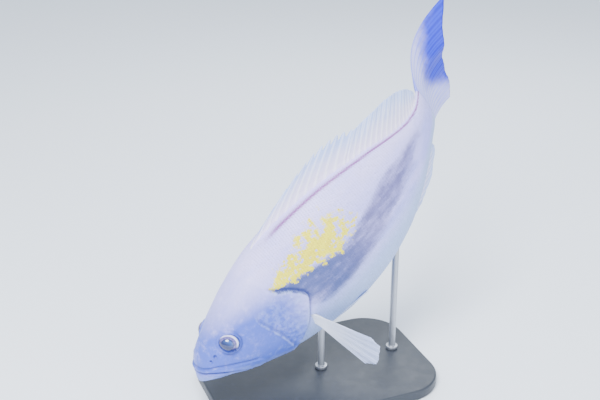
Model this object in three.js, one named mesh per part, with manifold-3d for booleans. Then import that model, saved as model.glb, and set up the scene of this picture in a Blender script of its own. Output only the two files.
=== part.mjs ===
// Life-size display model of a goldblotch grouper, diving nose down on a stand of two rods.
// Millimetres, +Z up. The origin is the middle of the stand's underside.
//
// The fish is shaped straight in its own frame first: x runs from the snout to the tail,
// +y is its right side and +z its back. Then it is bent sideways, pitched and set on the stand.
import * as THREE from "three";
import { mergeVertices } from "three/addons/utils/BufferGeometryUtils.js";
import Module from "manifold-3d";

const wasm = await Module();
wasm.setup();

// Driving dimensions
const STANDARD_LENGTH = 540; // snout to the root of the tail fin
const GAP = 0.3; // kept between pieces that touch
const GILL_SLIT = 0.9;
const COVER_THICKNESS = 5;
const COVER_RAISE = 2.2; // how far a gill cover stands proud of the flank
const JAW_RAISE = 1.6; // how far the upper jaw bones stand proud of the cheek
const COVER_ROOT = 4; // where a gill cover starts, out from the middle plane
const LIP_HEIGHT = 8;
const EYE_RADIUS = 15.5;
const EYE_BULGE = 9.5;
const EYE_RIM = { radius: 14.3, thickness: 2.6, rise: 8.7 }; // rise above the eyeball's middle
const NOSTRIL_RIM = 1.1; // thickness of the ring round a nostril
const ROD_INSIDE = 40; // how far a rod is drawn past the belly before it is cut off at the skin

// Half thicknesses of the fins on their rays and webs
const FIN_RAY = 1.2;
const FIN_WEB = 0.5;
const FIN_THINNING = 0.45; // share of the thickness lost from root to tip
const FIN_ROOT_SHARE = 0.25; // share of a ray over which its root thins
const RAY_CURL = 0.12; // how much more the rays of the middle fins lean at their tips

// Pose
const TAIL_TURN = THREE.MathUtils.degToRad(54); // the tail swings to the fish's right
const HEAD_TURN = THREE.MathUtils.degToRad(14); // and the head a little to its left
const DIVE_ANGLE = THREE.MathUtils.degToRad(33.6);
const SNOUT_HEIGHT = 62; // lowest point of the chin above the floor

// Stand
const BASE_LENGTH = 330;
const BASE_WIDTH = 220;
const BASE_THICKNESS = 16;
const BASE_CORNER = 60;
const BASE_BEVEL = 3;
const ROD_RADIUS = 5;
const ROD_STATIONS = { stand_rod_front: 0.33, stand_rod_rear: 0.62 };

// Outlines of the body, each as [station, size], in shares of the standard length
const TIP = -0.006;
const NOSE_ROUNDING = 0.045;
const BACK = [
  [-0.006, -0.006], [0.02, 0.022], [0.06, 0.049], [0.13, 0.082], [0.22, 0.114], [0.31, 0.136],
  [0.42, 0.152], [0.55, 0.153], [0.7, 0.124], [0.83, 0.079], [0.92, 0.059], [1, 0.06],
];
const BELLY = [
  [-0.006, -0.034], [0.02, -0.053], [0.06, -0.079], [0.13, -0.119], [0.22, -0.161], [0.31, -0.187],
  [0.42, -0.196], [0.55, -0.178], [0.68, -0.138], [0.8, -0.089], [0.9, -0.056], [1, -0.054],
];
const HALF_WIDTH = [
  [-0.006, 0.034], [0.03, 0.05], [0.07, 0.061], [0.13, 0.072], [0.22, 0.082], [0.32, 0.088],
  [0.42, 0.088], [0.55, 0.078], [0.7, 0.054], [0.83, 0.031], [0.93, 0.018], [1, 0.009],
];
const WIDEST_LEVEL = [[-0.006, -0.024], [0.06, -0.022], [0.2, -0.018], [0.45, -0.012], [1, 0.002]];
const SECTION_POWER = 2.25; // 2 is an ellipse, more is boxier
const SECTION_SIDES = 36;

// A smooth function through [x, value] pairs.
function smoothThrough(pairs) {
  const slope = pairs.map((_, i) => {
    const before = pairs[Math.max(i - 1, 0)];
    const after = pairs[Math.min(i + 1, pairs.length - 1)];
    return (after[1] - before[1]) / (after[0] - before[0]);
  });
  return (x) => {
    let i = 0;
    while (i < pairs.length - 2 && x > pairs[i + 1][0]) i++;
    const [x0, y0] = pairs[i];
    const [x1, y1] = pairs[i + 1];
    const width = x1 - x0;
    const t = THREE.MathUtils.clamp((x - x0) / width, 0, 1);
    const u = 1 - t;
    return (
      y0 * u * u * (1 + 2 * t) + y1 * t * t * (3 - 2 * t) +
      slope[i] * width * t * u * u - slope[i + 1] * width * t * t * u
    );
  };
}

const backAt = smoothThrough(BACK);
const bellyAt = smoothThrough(BELLY);
const halfWidthAt = smoothThrough(HALF_WIDTH);
const widestAt = smoothThrough(WIDEST_LEVEL);

// Rounds the nose off: 0 at the tip, 1 from NOSE_ROUNDING behind it.
function noseShare(station) {
  const t = THREE.MathUtils.clamp((station - TIP) / NOSE_ROUNDING, 0, 1);
  return Math.sqrt(1 - (1 - t) * (1 - t));
}

// The cross-section at a station: middle level, reach up, reach down and half width, in mm.
function sectionAt(station, grow) {
  const round = noseShare(station);
  const middle = widestAt(station);
  return {
    middle: middle * STANDARD_LENGTH,
    up: (backAt(station) - middle) * round * STANDARD_LENGTH + grow,
    down: (middle - bellyAt(station)) * round * STANDARD_LENGTH + grow,
    side: halfWidthAt(station) * round * STANDARD_LENGTH + grow,
  };
}

// Height of the back and the belly along the middle line, in mm.
const backHeight = (station) => sectionAt(station, 0).middle + sectionAt(station, 0).up;
const bellyHeight = (station) => sectionAt(station, 0).middle - sectionAt(station, 0).down;

// A point on the skin. Angle 0 is the middle of the back, and a quarter turn is the right side.
function skinPoint(station, angle, grow) {
  const s = sectionAt(station, grow);
  const c = Math.cos(angle);
  const n = Math.sin(angle);
  const across = Math.sign(n) * Math.abs(n) ** (2 / SECTION_POWER);
  const along = Math.sign(c) * Math.abs(c) ** (2 / SECTION_POWER);
  return new THREE.Vector3(
    station * STANDARD_LENGTH,
    s.side * across,
    s.middle + along * (along > 0 ? s.up : s.down),
  );
}

// The skin's distance from the middle plane at a place seen from the side.
function skinOffset(x, z) {
  const s = sectionAt(x / STANDARD_LENGTH, 0);
  const reach = z > s.middle ? s.up : s.down;
  const share = THREE.MathUtils.clamp(Math.abs(z - s.middle) / reach, 0, 1);
  return s.side * (1 - share ** SECTION_POWER) ** (1 / SECTION_POWER);
}

// The skin's point and outward direction there. Side is -1 for the left and 1 for the right.
function skinFrame(x, z, side) {
  const step = 2;
  const slopeX = (skinOffset(x + step, z) - skinOffset(x - step, z)) / (2 * step);
  const slopeZ = (skinOffset(x, z + step) - skinOffset(x, z - step)) / (2 * step);
  return {
    point: new THREE.Vector3(x, side * skinOffset(x, z), z),
    normal: new THREE.Vector3(-slopeX, side, -slopeZ).normalize(),
  };
}

function mix(a, b, share) {
  return a + (b - a) * share;
}

function geometryFrom(points, triangles) {
  const positions = new Float32Array(points.flatMap((p) => [p.x, p.y, p.z]));
  return new THREE.BufferGeometry()
    .setAttribute("position", new THREE.BufferAttribute(positions, 3))
    .setIndex(triangles);
}

function solidFrom(geometry) {
  const bare = geometry.clone();
  bare.deleteAttribute("normal");
  bare.deleteAttribute("uv");
  const merged = mergeVertices(bare, 1e-4);
  return new wasm.Manifold(
    new wasm.Mesh({
      numProp: 3,
      vertProperties: new Float32Array(merged.attributes.position.array),
      triVerts: new Uint32Array(merged.index.array),
    }),
  );
}

function geometryOf(solid) {
  const mesh = solid.getMesh();
  const positions = new Float32Array(mesh.numVert * 3);
  for (let i = 0; i < mesh.numVert; i++) {
    positions.set(mesh.vertProperties.subarray(i * mesh.numProp, i * mesh.numProp + 3), i * 3);
  }
  return new THREE.BufferGeometry()
    .setAttribute("position", new THREE.BufferAttribute(positions, 3))
    .setIndex(new THREE.BufferAttribute(new Uint32Array(mesh.triVerts), 1));
}

function largestPiece(solid) {
  return solid.decompose().reduce((a, b) => (a.volume() > b.volume() ? a : b));
}

// A closed surface through rings of equally many points, with a fan at each end.
function loft(rings, firstTip, lastTip) {
  const sides = rings[0].length;
  const points = [firstTip, ...rings.flat(), lastTip];
  const last = points.length - 1;
  const at = (ring, side) => 1 + ring * sides + (side % sides);
  const triangles = [];
  for (let j = 0; j < sides; j++) {
    triangles.push(0, at(0, j), at(0, j + 1));
    triangles.push(last, at(rings.length - 1, j + 1), at(rings.length - 1, j));
    for (let i = 0; i < rings.length - 1; i++) {
      triangles.push(at(i, j), at(i + 1, j), at(i + 1, j + 1));
      triangles.push(at(i, j), at(i + 1, j + 1), at(i, j + 1));
    }
  }
  return geometryFrom(points, triangles);
}

// Stations of the body's rings: close together at the nose and over the head.
function ringStations() {
  const stations = [0.001, 0.005, 0.012, 0.022].map((ahead) => TIP + ahead);
  for (let s = TIP + 0.036; s < 0.36; s += 0.021) stations.push(s);
  for (let s = 0.385; s < 0.99; s += 0.034) stations.push(s);
  return [...stations, 1];
}

function wholeBody(grow) {
  const rings = ringStations().map((station) =>
    Array.from({ length: SECTION_SIDES }, (_, j) =>
      skinPoint(station, (2 * Math.PI * j) / SECTION_SIDES, grow),
    ),
  );
  const middle = (station) => sectionAt(station, grow).middle;
  const first = new THREE.Vector3(TIP * STANDARD_LENGTH - grow, 0, middle(TIP));
  const last = new THREE.Vector3(STANDARD_LENGTH, 0, middle(1));
  if (grow > 0) {
    for (const p of rings[rings.length - 1]) p.x += grow;
    last.x += grow;
  }
  return solidFrom(loft(rings, first, last));
}

// A straight-sided solid: an outline in the fish's side view, in shares of the standard length,
// pushed through from one y to another.
function sidePrism(outline, fromY, toY) {
  const shape = new THREE.Shape(
    outline.map(([x, z]) => new THREE.Vector2(x * STANDARD_LENGTH, z * STANDARD_LENGTH)),
  );
  const prism = new THREE.ExtrudeGeometry(shape, { depth: toY - fromY, bevelEnabled: false });
  prism.applyMatrix4(new THREE.Matrix4().makeRotationX(Math.PI / 2));
  prism.translate(0, toY, 0);
  return solidFrom(prism);
}

// A curved line through points of the side view, as more points.
function curvedLine(points, steps) {
  return new THREE.SplineCurve(points.map(([x, z]) => new THREE.Vector2(x, z)))
    .getPoints(steps)
    .map((p) => [p.x, p.y]);
}

// Moves a line of the side view sideways by a distance in mm, to its right as it runs.
function shifted(line, distance) {
  return line.map(([x, z], i) => {
    const [xa, za] = line[Math.max(i - 1, 0)];
    const [xb, zb] = line[Math.min(i + 1, line.length - 1)];
    const run = Math.hypot(xb - xa, zb - za);
    const move = distance / STANDARD_LENGTH / run;
    return [x + (zb - za) * move, z - (xb - xa) * move];
  });
}

const FAR = 0.5; // past every outline, in shares of the standard length
const WIDE = 120; // past either flank, in mm

// Edges that part the body, in the side view, in shares of the standard length
const GILL_EDGE = curvedLine(
  [
    [0.21, 0.2], [0.248, 0.09], [0.275, 0.046], [0.303, 0.026], [0.328, 0.002], [0.342, -0.026],
    [0.322, -0.06], [0.298, -0.092], [0.262, -0.122], [0.222, -0.152], [0.18, -0.22],
  ],
  22,
);
const TAIL_EDGE = [[0.88, FAR], [0.88, -FAR]];
const MOUTH_LINE = curvedLine(
  [[-0.06, 0.018], [0.0, -0.002], [0.03, -0.014], [0.073, -0.052], [0.1, -0.082]],
  8,
);
const JAW_REAR = [[0.126, -0.106], [0.145, -0.19]];
const COVER_FRONT = curvedLine(
  [[0.27, 0.042], [0.22, 0.046], [0.189, 0.024], [0.197, -0.018], [0.212, -0.07], [0.214, -0.128]],
  10,
);
const UPPER_JAW = [
  ...curvedLine([[-0.03, 0.026], [0.014, 0.009], [0.045, -0.003], [0.1, -0.044], [0.128, -0.066]], 8),
  ...curvedLine([[0.142, -0.082], [0.143, -0.098], [0.126, -0.106], [0.1, -0.0795]], 6),
  ...[...curvedLine([[-0.04, 0.013], [0.0, -0.0005], [0.03, -0.0125], [0.073, -0.0505]], 5)].reverse(),
];

function aheadOf(line, gap) {
  return sidePrism([...shifted(line, gap / 2), [-FAR, -FAR], [-FAR, FAR]], -WIDE, WIDE);
}

function behind(line, gap) {
  return sidePrism([...shifted(line, -gap / 2), [3 * FAR, -FAR], [3 * FAR, FAR]], -WIDE, WIDE);
}

// The region of a gill cover, on one side of the fish.
function coverRegion(side, grow) {
  const rear = GILL_EDGE.filter(([, z]) => z < 0.04 && z > -0.14).reverse();
  const front = shifted(COVER_FRONT, grow);
  const outline = [...front, ...shifted(rear, grow)];
  const root = COVER_ROOT - grow;
  return side < 0 ? sidePrism(outline, -WIDE, -root) : sidePrism(outline, root, WIDE);
}

function gillCover(side) {
  const shell = wholeBody(COVER_RAISE).subtract(wholeBody(-COVER_THICKNESS));
  return largestPiece(shell.intersect(coverRegion(side, 0)));
}

function lowerJawRegion(gap) {
  const line = shifted([...MOUTH_LINE, ...JAW_REAR], gap);
  return sidePrism([...line, [-FAR, -FAR]], -WIDE, WIDE);
}

// The eyeball's middle, set in from the skin so that it bulges by EYE_BULGE.
const EYE_PLACE = { x: 0.104 * STANDARD_LENGTH, z: 0.027 * STANDARD_LENGTH };
function eyeSeat(side) {
  const { point, normal } = skinFrame(EYE_PLACE.x, EYE_PLACE.z, side);
  return { middle: point.clone().addScaledVector(normal, EYE_BULGE - EYE_RADIUS), normal };
}

function ball(radius, middle, across, down) {
  const sphere = new THREE.SphereGeometry(radius, across, down);
  return solidFrom(sphere.translate(middle.x, middle.y, middle.z));
}

// A ring of round section that lies on the skin, such as the rim of an eye or a nostril.
function skinRing(radius, thickness, middle, normal, sides) {
  const ring = new THREE.TorusGeometry(radius, thickness, 6, sides);
  const turn = new THREE.Quaternion().setFromUnitVectors(new THREE.Vector3(0, 0, 1), normal);
  ring.applyQuaternion(turn).translate(middle.x, middle.y, middle.z);
  return solidFrom(ring);
}

const NOSTRILS = [
  { x: 0.042, z: 0.018, radius: 2.2 },
  { x: 0.057, z: 0.022, radius: 3 },
];

function head() {
  let solid = wholeBody(0).intersect(aheadOf(GILL_EDGE, GILL_SLIT));
  const plates = wholeBody(JAW_RAISE).intersect(sidePrism(UPPER_JAW, -WIDE, WIDE));
  solid = solid.add(plates);
  for (const side of [-1, 1]) {
    const { middle, normal } = eyeSeat(side);
    const rimMiddle = middle.clone().addScaledVector(normal, EYE_RIM.rise);
    solid = solid.add(skinRing(EYE_RIM.radius, EYE_RIM.thickness, rimMiddle, normal, 18));
    solid = solid.subtract(ball(EYE_RADIUS + GAP, middle, 18, 12));
    for (const nostril of NOSTRILS) {
      const seat = skinFrame(nostril.x * STANDARD_LENGTH, nostril.z * STANDARD_LENGTH, side);
      solid = solid.add(skinRing(nostril.radius, NOSTRIL_RIM, seat.point, seat.normal, 8));
      solid = solid.subtract(ball(nostril.radius - NOSTRIL_RIM / 2, seat.point, 8, 6));
    }
    const pocket = coverRegion(side, GAP).subtract(wholeBody(-COVER_THICKNESS - GAP));
    solid = solid.subtract(pocket);
  }
  return largestPiece(solid.subtract(lowerJawRegion(GAP)));
}

function lowerJaw() {
  const lip = sidePrism(
    [...MOUTH_LINE, ...shifted(MOUTH_LINE, LIP_HEIGHT).reverse()], -WIDE, WIDE,
  );
  const solid = wholeBody(0).add(wholeBody(JAW_RAISE).intersect(lip));
  return largestPiece(solid.intersect(lowerJawRegion(2 * GAP)));
}

function trunk() {
  const solid = wholeBody(0).intersect(behind(GILL_EDGE, GILL_SLIT));
  return largestPiece(solid.intersect(aheadOf(TAIL_EDGE, GAP)));
}

function tailStalk() {
  return largestPiece(wholeBody(0).intersect(behind(TAIL_EDGE, GAP)));
}

// A thin closed sheet over a grid of points: columns run across the rays and rows along them.
function sheet(columns, rows, pointAt, halfThicknessAt) {
  const middle = [];
  for (let i = 0; i < columns; i++) {
    for (let j = 0; j < rows; j++) middle.push(pointAt(i, j));
  }
  const at = (i, j) => i * rows + j;
  const clampTo = (v, count) => Math.min(Math.max(v, 0), count - 1);
  const front = [];
  const rear = [];
  for (let i = 0; i < columns; i++) {
    for (let j = 0; j < rows; j++) {
      const across = middle[at(clampTo(i + 1, columns), j)]
        .clone().sub(middle[at(clampTo(i - 1, columns), j)]);
      const along = middle[at(i, clampTo(j + 1, rows))]
        .clone().sub(middle[at(i, clampTo(j - 1, rows))]);
      const half = across.cross(along).normalize().multiplyScalar(halfThicknessAt(i, j));
      front.push(middle[at(i, j)].clone().add(half));
      rear.push(middle[at(i, j)].clone().sub(half));
    }
  }
  const back = middle.length;
  const triangles = [];
  for (let i = 0; i < columns - 1; i++) {
    for (let j = 0; j < rows - 1; j++) {
      const [a, b, c, d] = [at(i, j), at(i + 1, j), at(i + 1, j + 1), at(i, j + 1)];
      triangles.push(a, b, c, a, c, d);
      triangles.push(back + a, back + c, back + b, back + a, back + d, back + c);
    }
    const [a, b] = [at(i, 0), at(i + 1, 0)];
    const [c, d] = [at(i, rows - 1), at(i + 1, rows - 1)];
    triangles.push(a, back + a, back + b, a, back + b, b);
    triangles.push(c, d, back + d, c, back + d, back + c);
  }
  for (let j = 0; j < rows - 1; j++) {
    const [a, b] = [at(0, j), at(0, j + 1)];
    const [c, d] = [at(columns - 1, j), at(columns - 1, j + 1)];
    triangles.push(a, b, back + b, a, back + b, back + a);
    triangles.push(c, back + c, back + d, c, back + d, d);
  }
  return solidFrom(geometryFrom([...front, ...rear], triangles));
}

// A fin of rays joined by a membrane. Rays are whole numbers and the web lies half way between.
// rayPoint(ray, share) gives the middle surface, with share 0 at the root and 1 at the tip.
function rayFin({ rays, rows, rayPoint, notch, rootHalf, sunk }) {
  const columns = 2 * rays - 1;
  const shareAt = (i, j) => {
    const share = (j / (rows - 1)) * (1 + sunk) - sunk;
    return i % 2 && share > 0 ? share * (1 - notch(i / 2)) : share;
  };
  return sheet(
    columns,
    rows,
    (i, j) => rayPoint(i / 2, shareAt(i, j)),
    (i, j) => {
      const share = Math.max(shareAt(i, j), 0);
      const tip = i % 2 ? FIN_WEB : FIN_RAY;
      const rootShare = Math.max(0, 1 - share / FIN_ROOT_SHARE);
      return mix(tip, rootHalf, rootShare) * (1 - FIN_THINNING * share);
    },
  );
}

// A fin along the back or belly, cut off at the skin.
function middleFin({ firstStation, lastStation, rays, lean, length, notch, upward }) {
  const edge = upward ? backHeight : bellyHeight;
  const sign = upward ? 1 : -1;
  const rayPoint = (ray, share) => {
    const along = ray / (rays - 1);
    const station = mix(firstStation, lastStation, along);
    const angle = lean(along);
    const reach = length(along) * STANDARD_LENGTH * share;
    const curl = 1 + RAY_CURL * Math.max(share, 0);
    return new THREE.Vector3(
      station * STANDARD_LENGTH + Math.sin(angle * curl) * reach,
      0,
      edge(station) + sign * Math.cos(angle * curl) * reach,
    );
  };
  const fin = rayFin({ rays, rows: 6, rayPoint, notch, rootHalf: 1.5, sunk: 0.16 });
  return largestPiece(fin.subtract(wholeBody(GAP)));
}

const SPINY_DORSAL = {
  firstStation: 0.31,
  lastStation: 0.63,
  rays: 11,
  lean: (along) => mix(0.98, 0.82, along),
  length: smoothThrough([[0, 0.05], [0.2, 0.112], [0.4, 0.136], [0.75, 0.12], [1, 0.092]]),
  notch: () => 0.17,
  upward: true,
};

const SOFT_DORSAL = {
  firstStation: 0.64,
  lastStation: 0.955,
  rays: 17,
  lean: (along) => mix(0.8, 0.9, along),
  length: smoothThrough([[0, 0.084], [0.2, 0.096], [0.4, 0.106], [0.6, 0.1], [0.8, 0.075], [1, 0.026]]),
  notch: () => 0.02,
  upward: true,
};

const ANAL = {
  firstStation: 0.69,
  lastStation: 0.865,
  rays: 11,
  lean: (along) => mix(1.28, 1.34, along),
  length: smoothThrough([[0, 0.032], [0.12, 0.052], [0.3, 0.07], [0.6, 0.08], [0.88, 0.074], [1, 0.054]]),
  notch: (ray) => (ray < 3 ? 0.12 : 0.02),
  upward: false,
};

// The tail fin: rays fan out from the end of the tail stalk, longest at the upper corner, and
// curve back towards its middle.
const TAIL_RAYS = 17;
const TAIL_ABOVE = { fan: THREE.MathUtils.degToRad(45), curl: 0.6 };
const TAIL_BELOW = { fan: THREE.MathUtils.degToRad(25), curl: 0.18 };
const TAIL_CURL_POWER = 0.66;
const TAIL_ROOT = { half: 0.056, level: 0.006 };
const tailRayLength = smoothThrough([
  [-1, 0.176], [-0.75, 0.192], [-0.3, 0.194], [0.2, 0.204], [0.7, 0.246], [1, 0.316],
]);

// How far the tips of the tail's rays swing sideways, as a share of the standard length.
const tailSweep = smoothThrough([[-1, 0.028], [-0.5, 0.024], [0, 0.011], [0.5, -0.014], [1, 0.003]]);

function tailFin() {
  const rayPoint = (ray, share) => {
    const across = (2 * ray) / (TAIL_RAYS - 1) - 1; // -1 at the lower edge and 1 at the upper
    const reach = tailRayLength(across) * STANDARD_LENGTH * share;
    const { fan, curl } = across > 0 ? TAIL_ABOVE : TAIL_BELOW;
    const out = Math.max(share, 0);
    const angle = across * fan * (1 - curl * out ** TAIL_CURL_POWER);
    return new THREE.Vector3(
      STANDARD_LENGTH + Math.cos(angle) * reach,
      tailSweep(across) * STANDARD_LENGTH * out ** 1.5,
      (across * TAIL_ROOT.half + TAIL_ROOT.level) * STANDARD_LENGTH + Math.sin(angle) * reach,
    );
  };
  const notch = () => 0.015;
  const fin = rayFin({ rays: TAIL_RAYS, rows: 7, rayPoint, notch, rootHalf: 2, sunk: 0.06 });
  return largestPiece(fin.subtract(wholeBody(GAP)));
}

// A paired fin: a fan of rays from a short root on the flank or breast.
// main is the middle ray's direction, spread the direction in which the fan opens.
function pairedFin({ place, side, rays, main, spread, fan, rootSpan, length, cup, notch, rootHalf }) {
  const { point } = skinFrame(place.x * STANDARD_LENGTH, place.z * STANDARD_LENGTH, side);
  const mirror = new THREE.Vector3(1, side, 1);
  const forward = new THREE.Vector3(...main).multiply(mirror).normalize();
  const open = new THREE.Vector3(...spread).multiply(mirror);
  open.addScaledVector(forward, -open.dot(forward)).normalize();
  const bow = forward.clone().cross(open).multiplyScalar(side);
  const rayPoint = (ray, share) => {
    const across = (2 * ray) / (rays - 1) - 1;
    const reach = length(across) * STANDARD_LENGTH * share;
    const angle = across * fan;
    const bend = cup * reach * Math.max(share, 0);
    return point.clone()
      .addScaledVector(open, across * rootSpan * STANDARD_LENGTH + Math.sin(angle) * reach)
      .addScaledVector(forward, Math.cos(angle) * reach)
      .addScaledVector(bow, bend * (1 - 0.6 * across * across));
  };
  const fin = rayFin({ rays, rows: 7, rayPoint, notch: () => notch, rootHalf, sunk: 0.1 });
  return largestPiece(fin.subtract(wholeBody(GAP)));
}

const PECTORAL = {
  place: { x: 0.318, z: -0.101 },
  rays: 17,
  main: [0.3, 0.67, -0.7],
  spread: [0.42, 0.64, 0.6],
  fan: 0.36,
  rootSpan: 0.016,
  length: smoothThrough([[-1, 0.18], [-0.6, 0.2], [0, 0.19], [0.6, 0.185], [1, 0.165]]),
  cup: 0.1,
  notch: 0.02,
  rootHalf: 3,
};

const PELVIC = {
  place: { x: 0.35, z: -0.18 },
  rays: 6,
  main: [0.97, 0.07, 0.03],
  spread: [0, 0.8, 0.5],
  fan: 0.14,
  rootSpan: 0.01,
  length: smoothThrough([[-1, 0.13], [-0.3, 0.15], [0.5, 0.155], [1, 0.135]]),
  cup: -0.03,
  notch: 0.03,
  rootHalf: 2.2,
};

// How the fish is bent: its heading is straight at NECK, turns one way ahead of it and the
// other way behind it, and the tail fin curls part of the way back.
const NECK = 0.4;
const BEND_STEPS = 400;
const BEND_FROM = -0.1;
const BEND_TO = 1.4;
function headingAt(station) {
  const ahead = THREE.MathUtils.smoothstep(0.42 - station, 0, 0.24);
  const behindNeck = THREE.MathUtils.clamp((station - NECK) / (1 - NECK), 0, 1);
  const pastRoot = THREE.MathUtils.smoothstep(station, 1.0, 1.25);
  const turn = behindNeck * behindNeck * (1.6 - 0.6 * behindNeck);
  return HEAD_TURN * ahead + TAIL_TURN * turn * (1 - 0.8 * pastRoot);
}

const spineLine = (() => {
  const step = (BEND_TO - BEND_FROM) / BEND_STEPS;
  const line = [new THREE.Vector2(0, 0)];
  for (let i = 0; i < BEND_STEPS; i++) {
    const heading = headingAt(BEND_FROM + (i + 0.5) * step);
    const ahead = new THREE.Vector2(Math.cos(heading), Math.sin(heading)).multiplyScalar(step);
    line.push(line[i].clone().add(ahead));
  }
  const neck = line[Math.round((NECK - BEND_FROM) / step)].clone();
  return line.map((p) => p.sub(neck).add(new THREE.Vector2(NECK, 0)));
})();

function bent(x, y, z) {
  const station = x / STANDARD_LENGTH;
  const place = ((station - BEND_FROM) / (BEND_TO - BEND_FROM)) * BEND_STEPS;
  const i = Math.floor(THREE.MathUtils.clamp(place, 0, BEND_STEPS - 1));
  const spine = spineLine[i].clone().lerp(spineLine[i + 1], place - i).multiplyScalar(STANDARD_LENGTH);
  const heading = headingAt(station);
  return [spine.x - Math.sin(heading) * y, spine.y + Math.cos(heading) * y, z];
}

function bendGeometry(geometry) {
  const p = geometry.attributes.position;
  for (let i = 0; i < p.count; i++) p.setXYZ(i, ...bent(p.getX(i), p.getY(i), p.getZ(i)));
  return geometry;
}

const PALE_LILAC = 0xc6c6dd;
const PALE_BLUE = 0xb9c4e6;
const SLATE = 0x3a4a66;
const CHARCOAL = 0x2b2d31;
const STEEL = 0xb8bcc2;
const plainMaterial = (color, roughness, metalness = 0) =>
  new THREE.MeshStandardMaterial({ color, roughness, metalness });
const skinMaterial = plainMaterial(PALE_LILAC, 0.4);
const finMaterial = plainMaterial(PALE_BLUE, 0.45);
const eyeMaterial = plainMaterial(SLATE, 0.1);
const baseMaterial = plainMaterial(CHARCOAL, 0.5);
const rodMaterial = plainMaterial(STEEL, 0.3, 1);

const model = new THREE.Group();
const fish = new THREE.Group();
const stand = new THREE.Group();
model.add(fish, stand);

function addFishPart(name, solid, material) {
  const mesh = new THREE.Mesh(bendGeometry(geometryOf(solid)), material);
  mesh.name = name;
  fish.add(mesh);
}

addFishPart("head", head(), skinMaterial);
addFishPart("lower_jaw", lowerJaw(), skinMaterial);
addFishPart("trunk", trunk(), skinMaterial);
addFishPart("tail_stalk", tailStalk(), skinMaterial);
addFishPart("dorsal_fin_spiny", middleFin(SPINY_DORSAL), finMaterial);
addFishPart("dorsal_fin_soft", middleFin(SOFT_DORSAL), finMaterial);
addFishPart("anal_fin", middleFin(ANAL), finMaterial);
addFishPart("tail_fin", tailFin(), finMaterial);
for (const [name, side] of [["left", -1], ["right", 1]]) {
  addFishPart(`gill_cover_${name}`, gillCover(side), skinMaterial);
  addFishPart(`eye_${name}`, ball(EYE_RADIUS, eyeSeat(side).middle, 18, 12), eyeMaterial);
  addFishPart(`pectoral_fin_${name}`, pairedFin({ ...PECTORAL, side }), finMaterial);
  addFishPart(`pelvic_fin_${name}`, pairedFin({ ...PELVIC, side }), finMaterial);
}

// The fish dives: its tail is raised, and it is moved until the chin is at its height
// and the middle of its weight stands over the base.
const BALANCE = 0.44; // station of the middle of the fish's weight
fish.rotation.y = -DIVE_ANGLE;
const balance = new THREE.Vector3(...bent(BALANCE * STANDARD_LENGTH, 0, 0)).applyEuler(fish.rotation);
fish.updateMatrixWorld(true);
const chin = new THREE.Box3().setFromObject(fish.getObjectByName("lower_jaw"), true).min.z;
fish.position.set(-balance.x, -balance.y, SNOUT_HEIGHT - chin);
fish.updateMatrixWorld(true);

function standBase() {
  const x = BASE_LENGTH / 2 - BASE_BEVEL;
  const y = BASE_WIDTH / 2 - BASE_BEVEL;
  const r = BASE_CORNER;
  const outline = new THREE.Shape()
    .moveTo(-x + r, -y)
    .lineTo(x - r, -y)
    .absarc(x - r, -y + r, r, -Math.PI / 2, 0)
    .absarc(x - r, y - r, r, 0, Math.PI / 2)
    .absarc(-x + r, y - r, r, Math.PI / 2, Math.PI)
    .absarc(-x + r, -y + r, r, Math.PI, 1.5 * Math.PI);
  const plate = new THREE.ExtrudeGeometry(outline, {
    depth: BASE_THICKNESS - 2 * BASE_BEVEL,
    bevelSize: BASE_BEVEL,
    bevelThickness: BASE_BEVEL,
    bevelSegments: 1,
    curveSegments: 8,
  });
  plate.translate(0, 0, BASE_BEVEL);
  return solidFrom(plate);
}

function addStandPart(name, solid, material) {
  const mesh = new THREE.Mesh(geometryOf(solid), material);
  mesh.name = name;
  stand.add(mesh);
}

// A rod rises from the base until it meets the belly.
function standRod(station) {
  const belly = new THREE.Vector3(...bent(station * STANDARD_LENGTH, 0, bellyHeight(station)));
  belly.applyMatrix4(fish.matrixWorld);
  const bottom = BASE_THICKNESS + GAP;
  const height = belly.z + ROD_INSIDE - bottom;
  const rod = new THREE.CylinderGeometry(ROD_RADIUS, ROD_RADIUS, height, 16);
  rod.rotateX(Math.PI / 2).translate(belly.x, belly.y, bottom + height / 2);
  const grown = geometryOf(wholeBody(GAP));
  const body = solidFrom(bendGeometry(grown).applyMatrix4(fish.matrixWorld));
  return solidFrom(rod)
    .subtract(body)
    .decompose()
    .reduce((a, b) => (a.boundingBox().min[2] < b.boundingBox().min[2] ? a : b));
}

addStandPart("stand_base", standBase(), baseMaterial);
for (const [name, station] of Object.entries(ROD_STATIONS)) {
  addStandPart(name, standRod(station), rodMaterial);
}

export default model;
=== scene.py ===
# Looks of the life-size goldblotch grouper on its display stand.
#
# The fish is shaped straight in its own frame first: x runs from the snout to the tail,
# +y is its right side and +z its back. Then it is bent sideways, pitched and set in place.
# Lengths are in metres, and places on the fish are shares of its standard length.
import math

import bpy
import numpy as np
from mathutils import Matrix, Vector
from mathutils import noise


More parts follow.
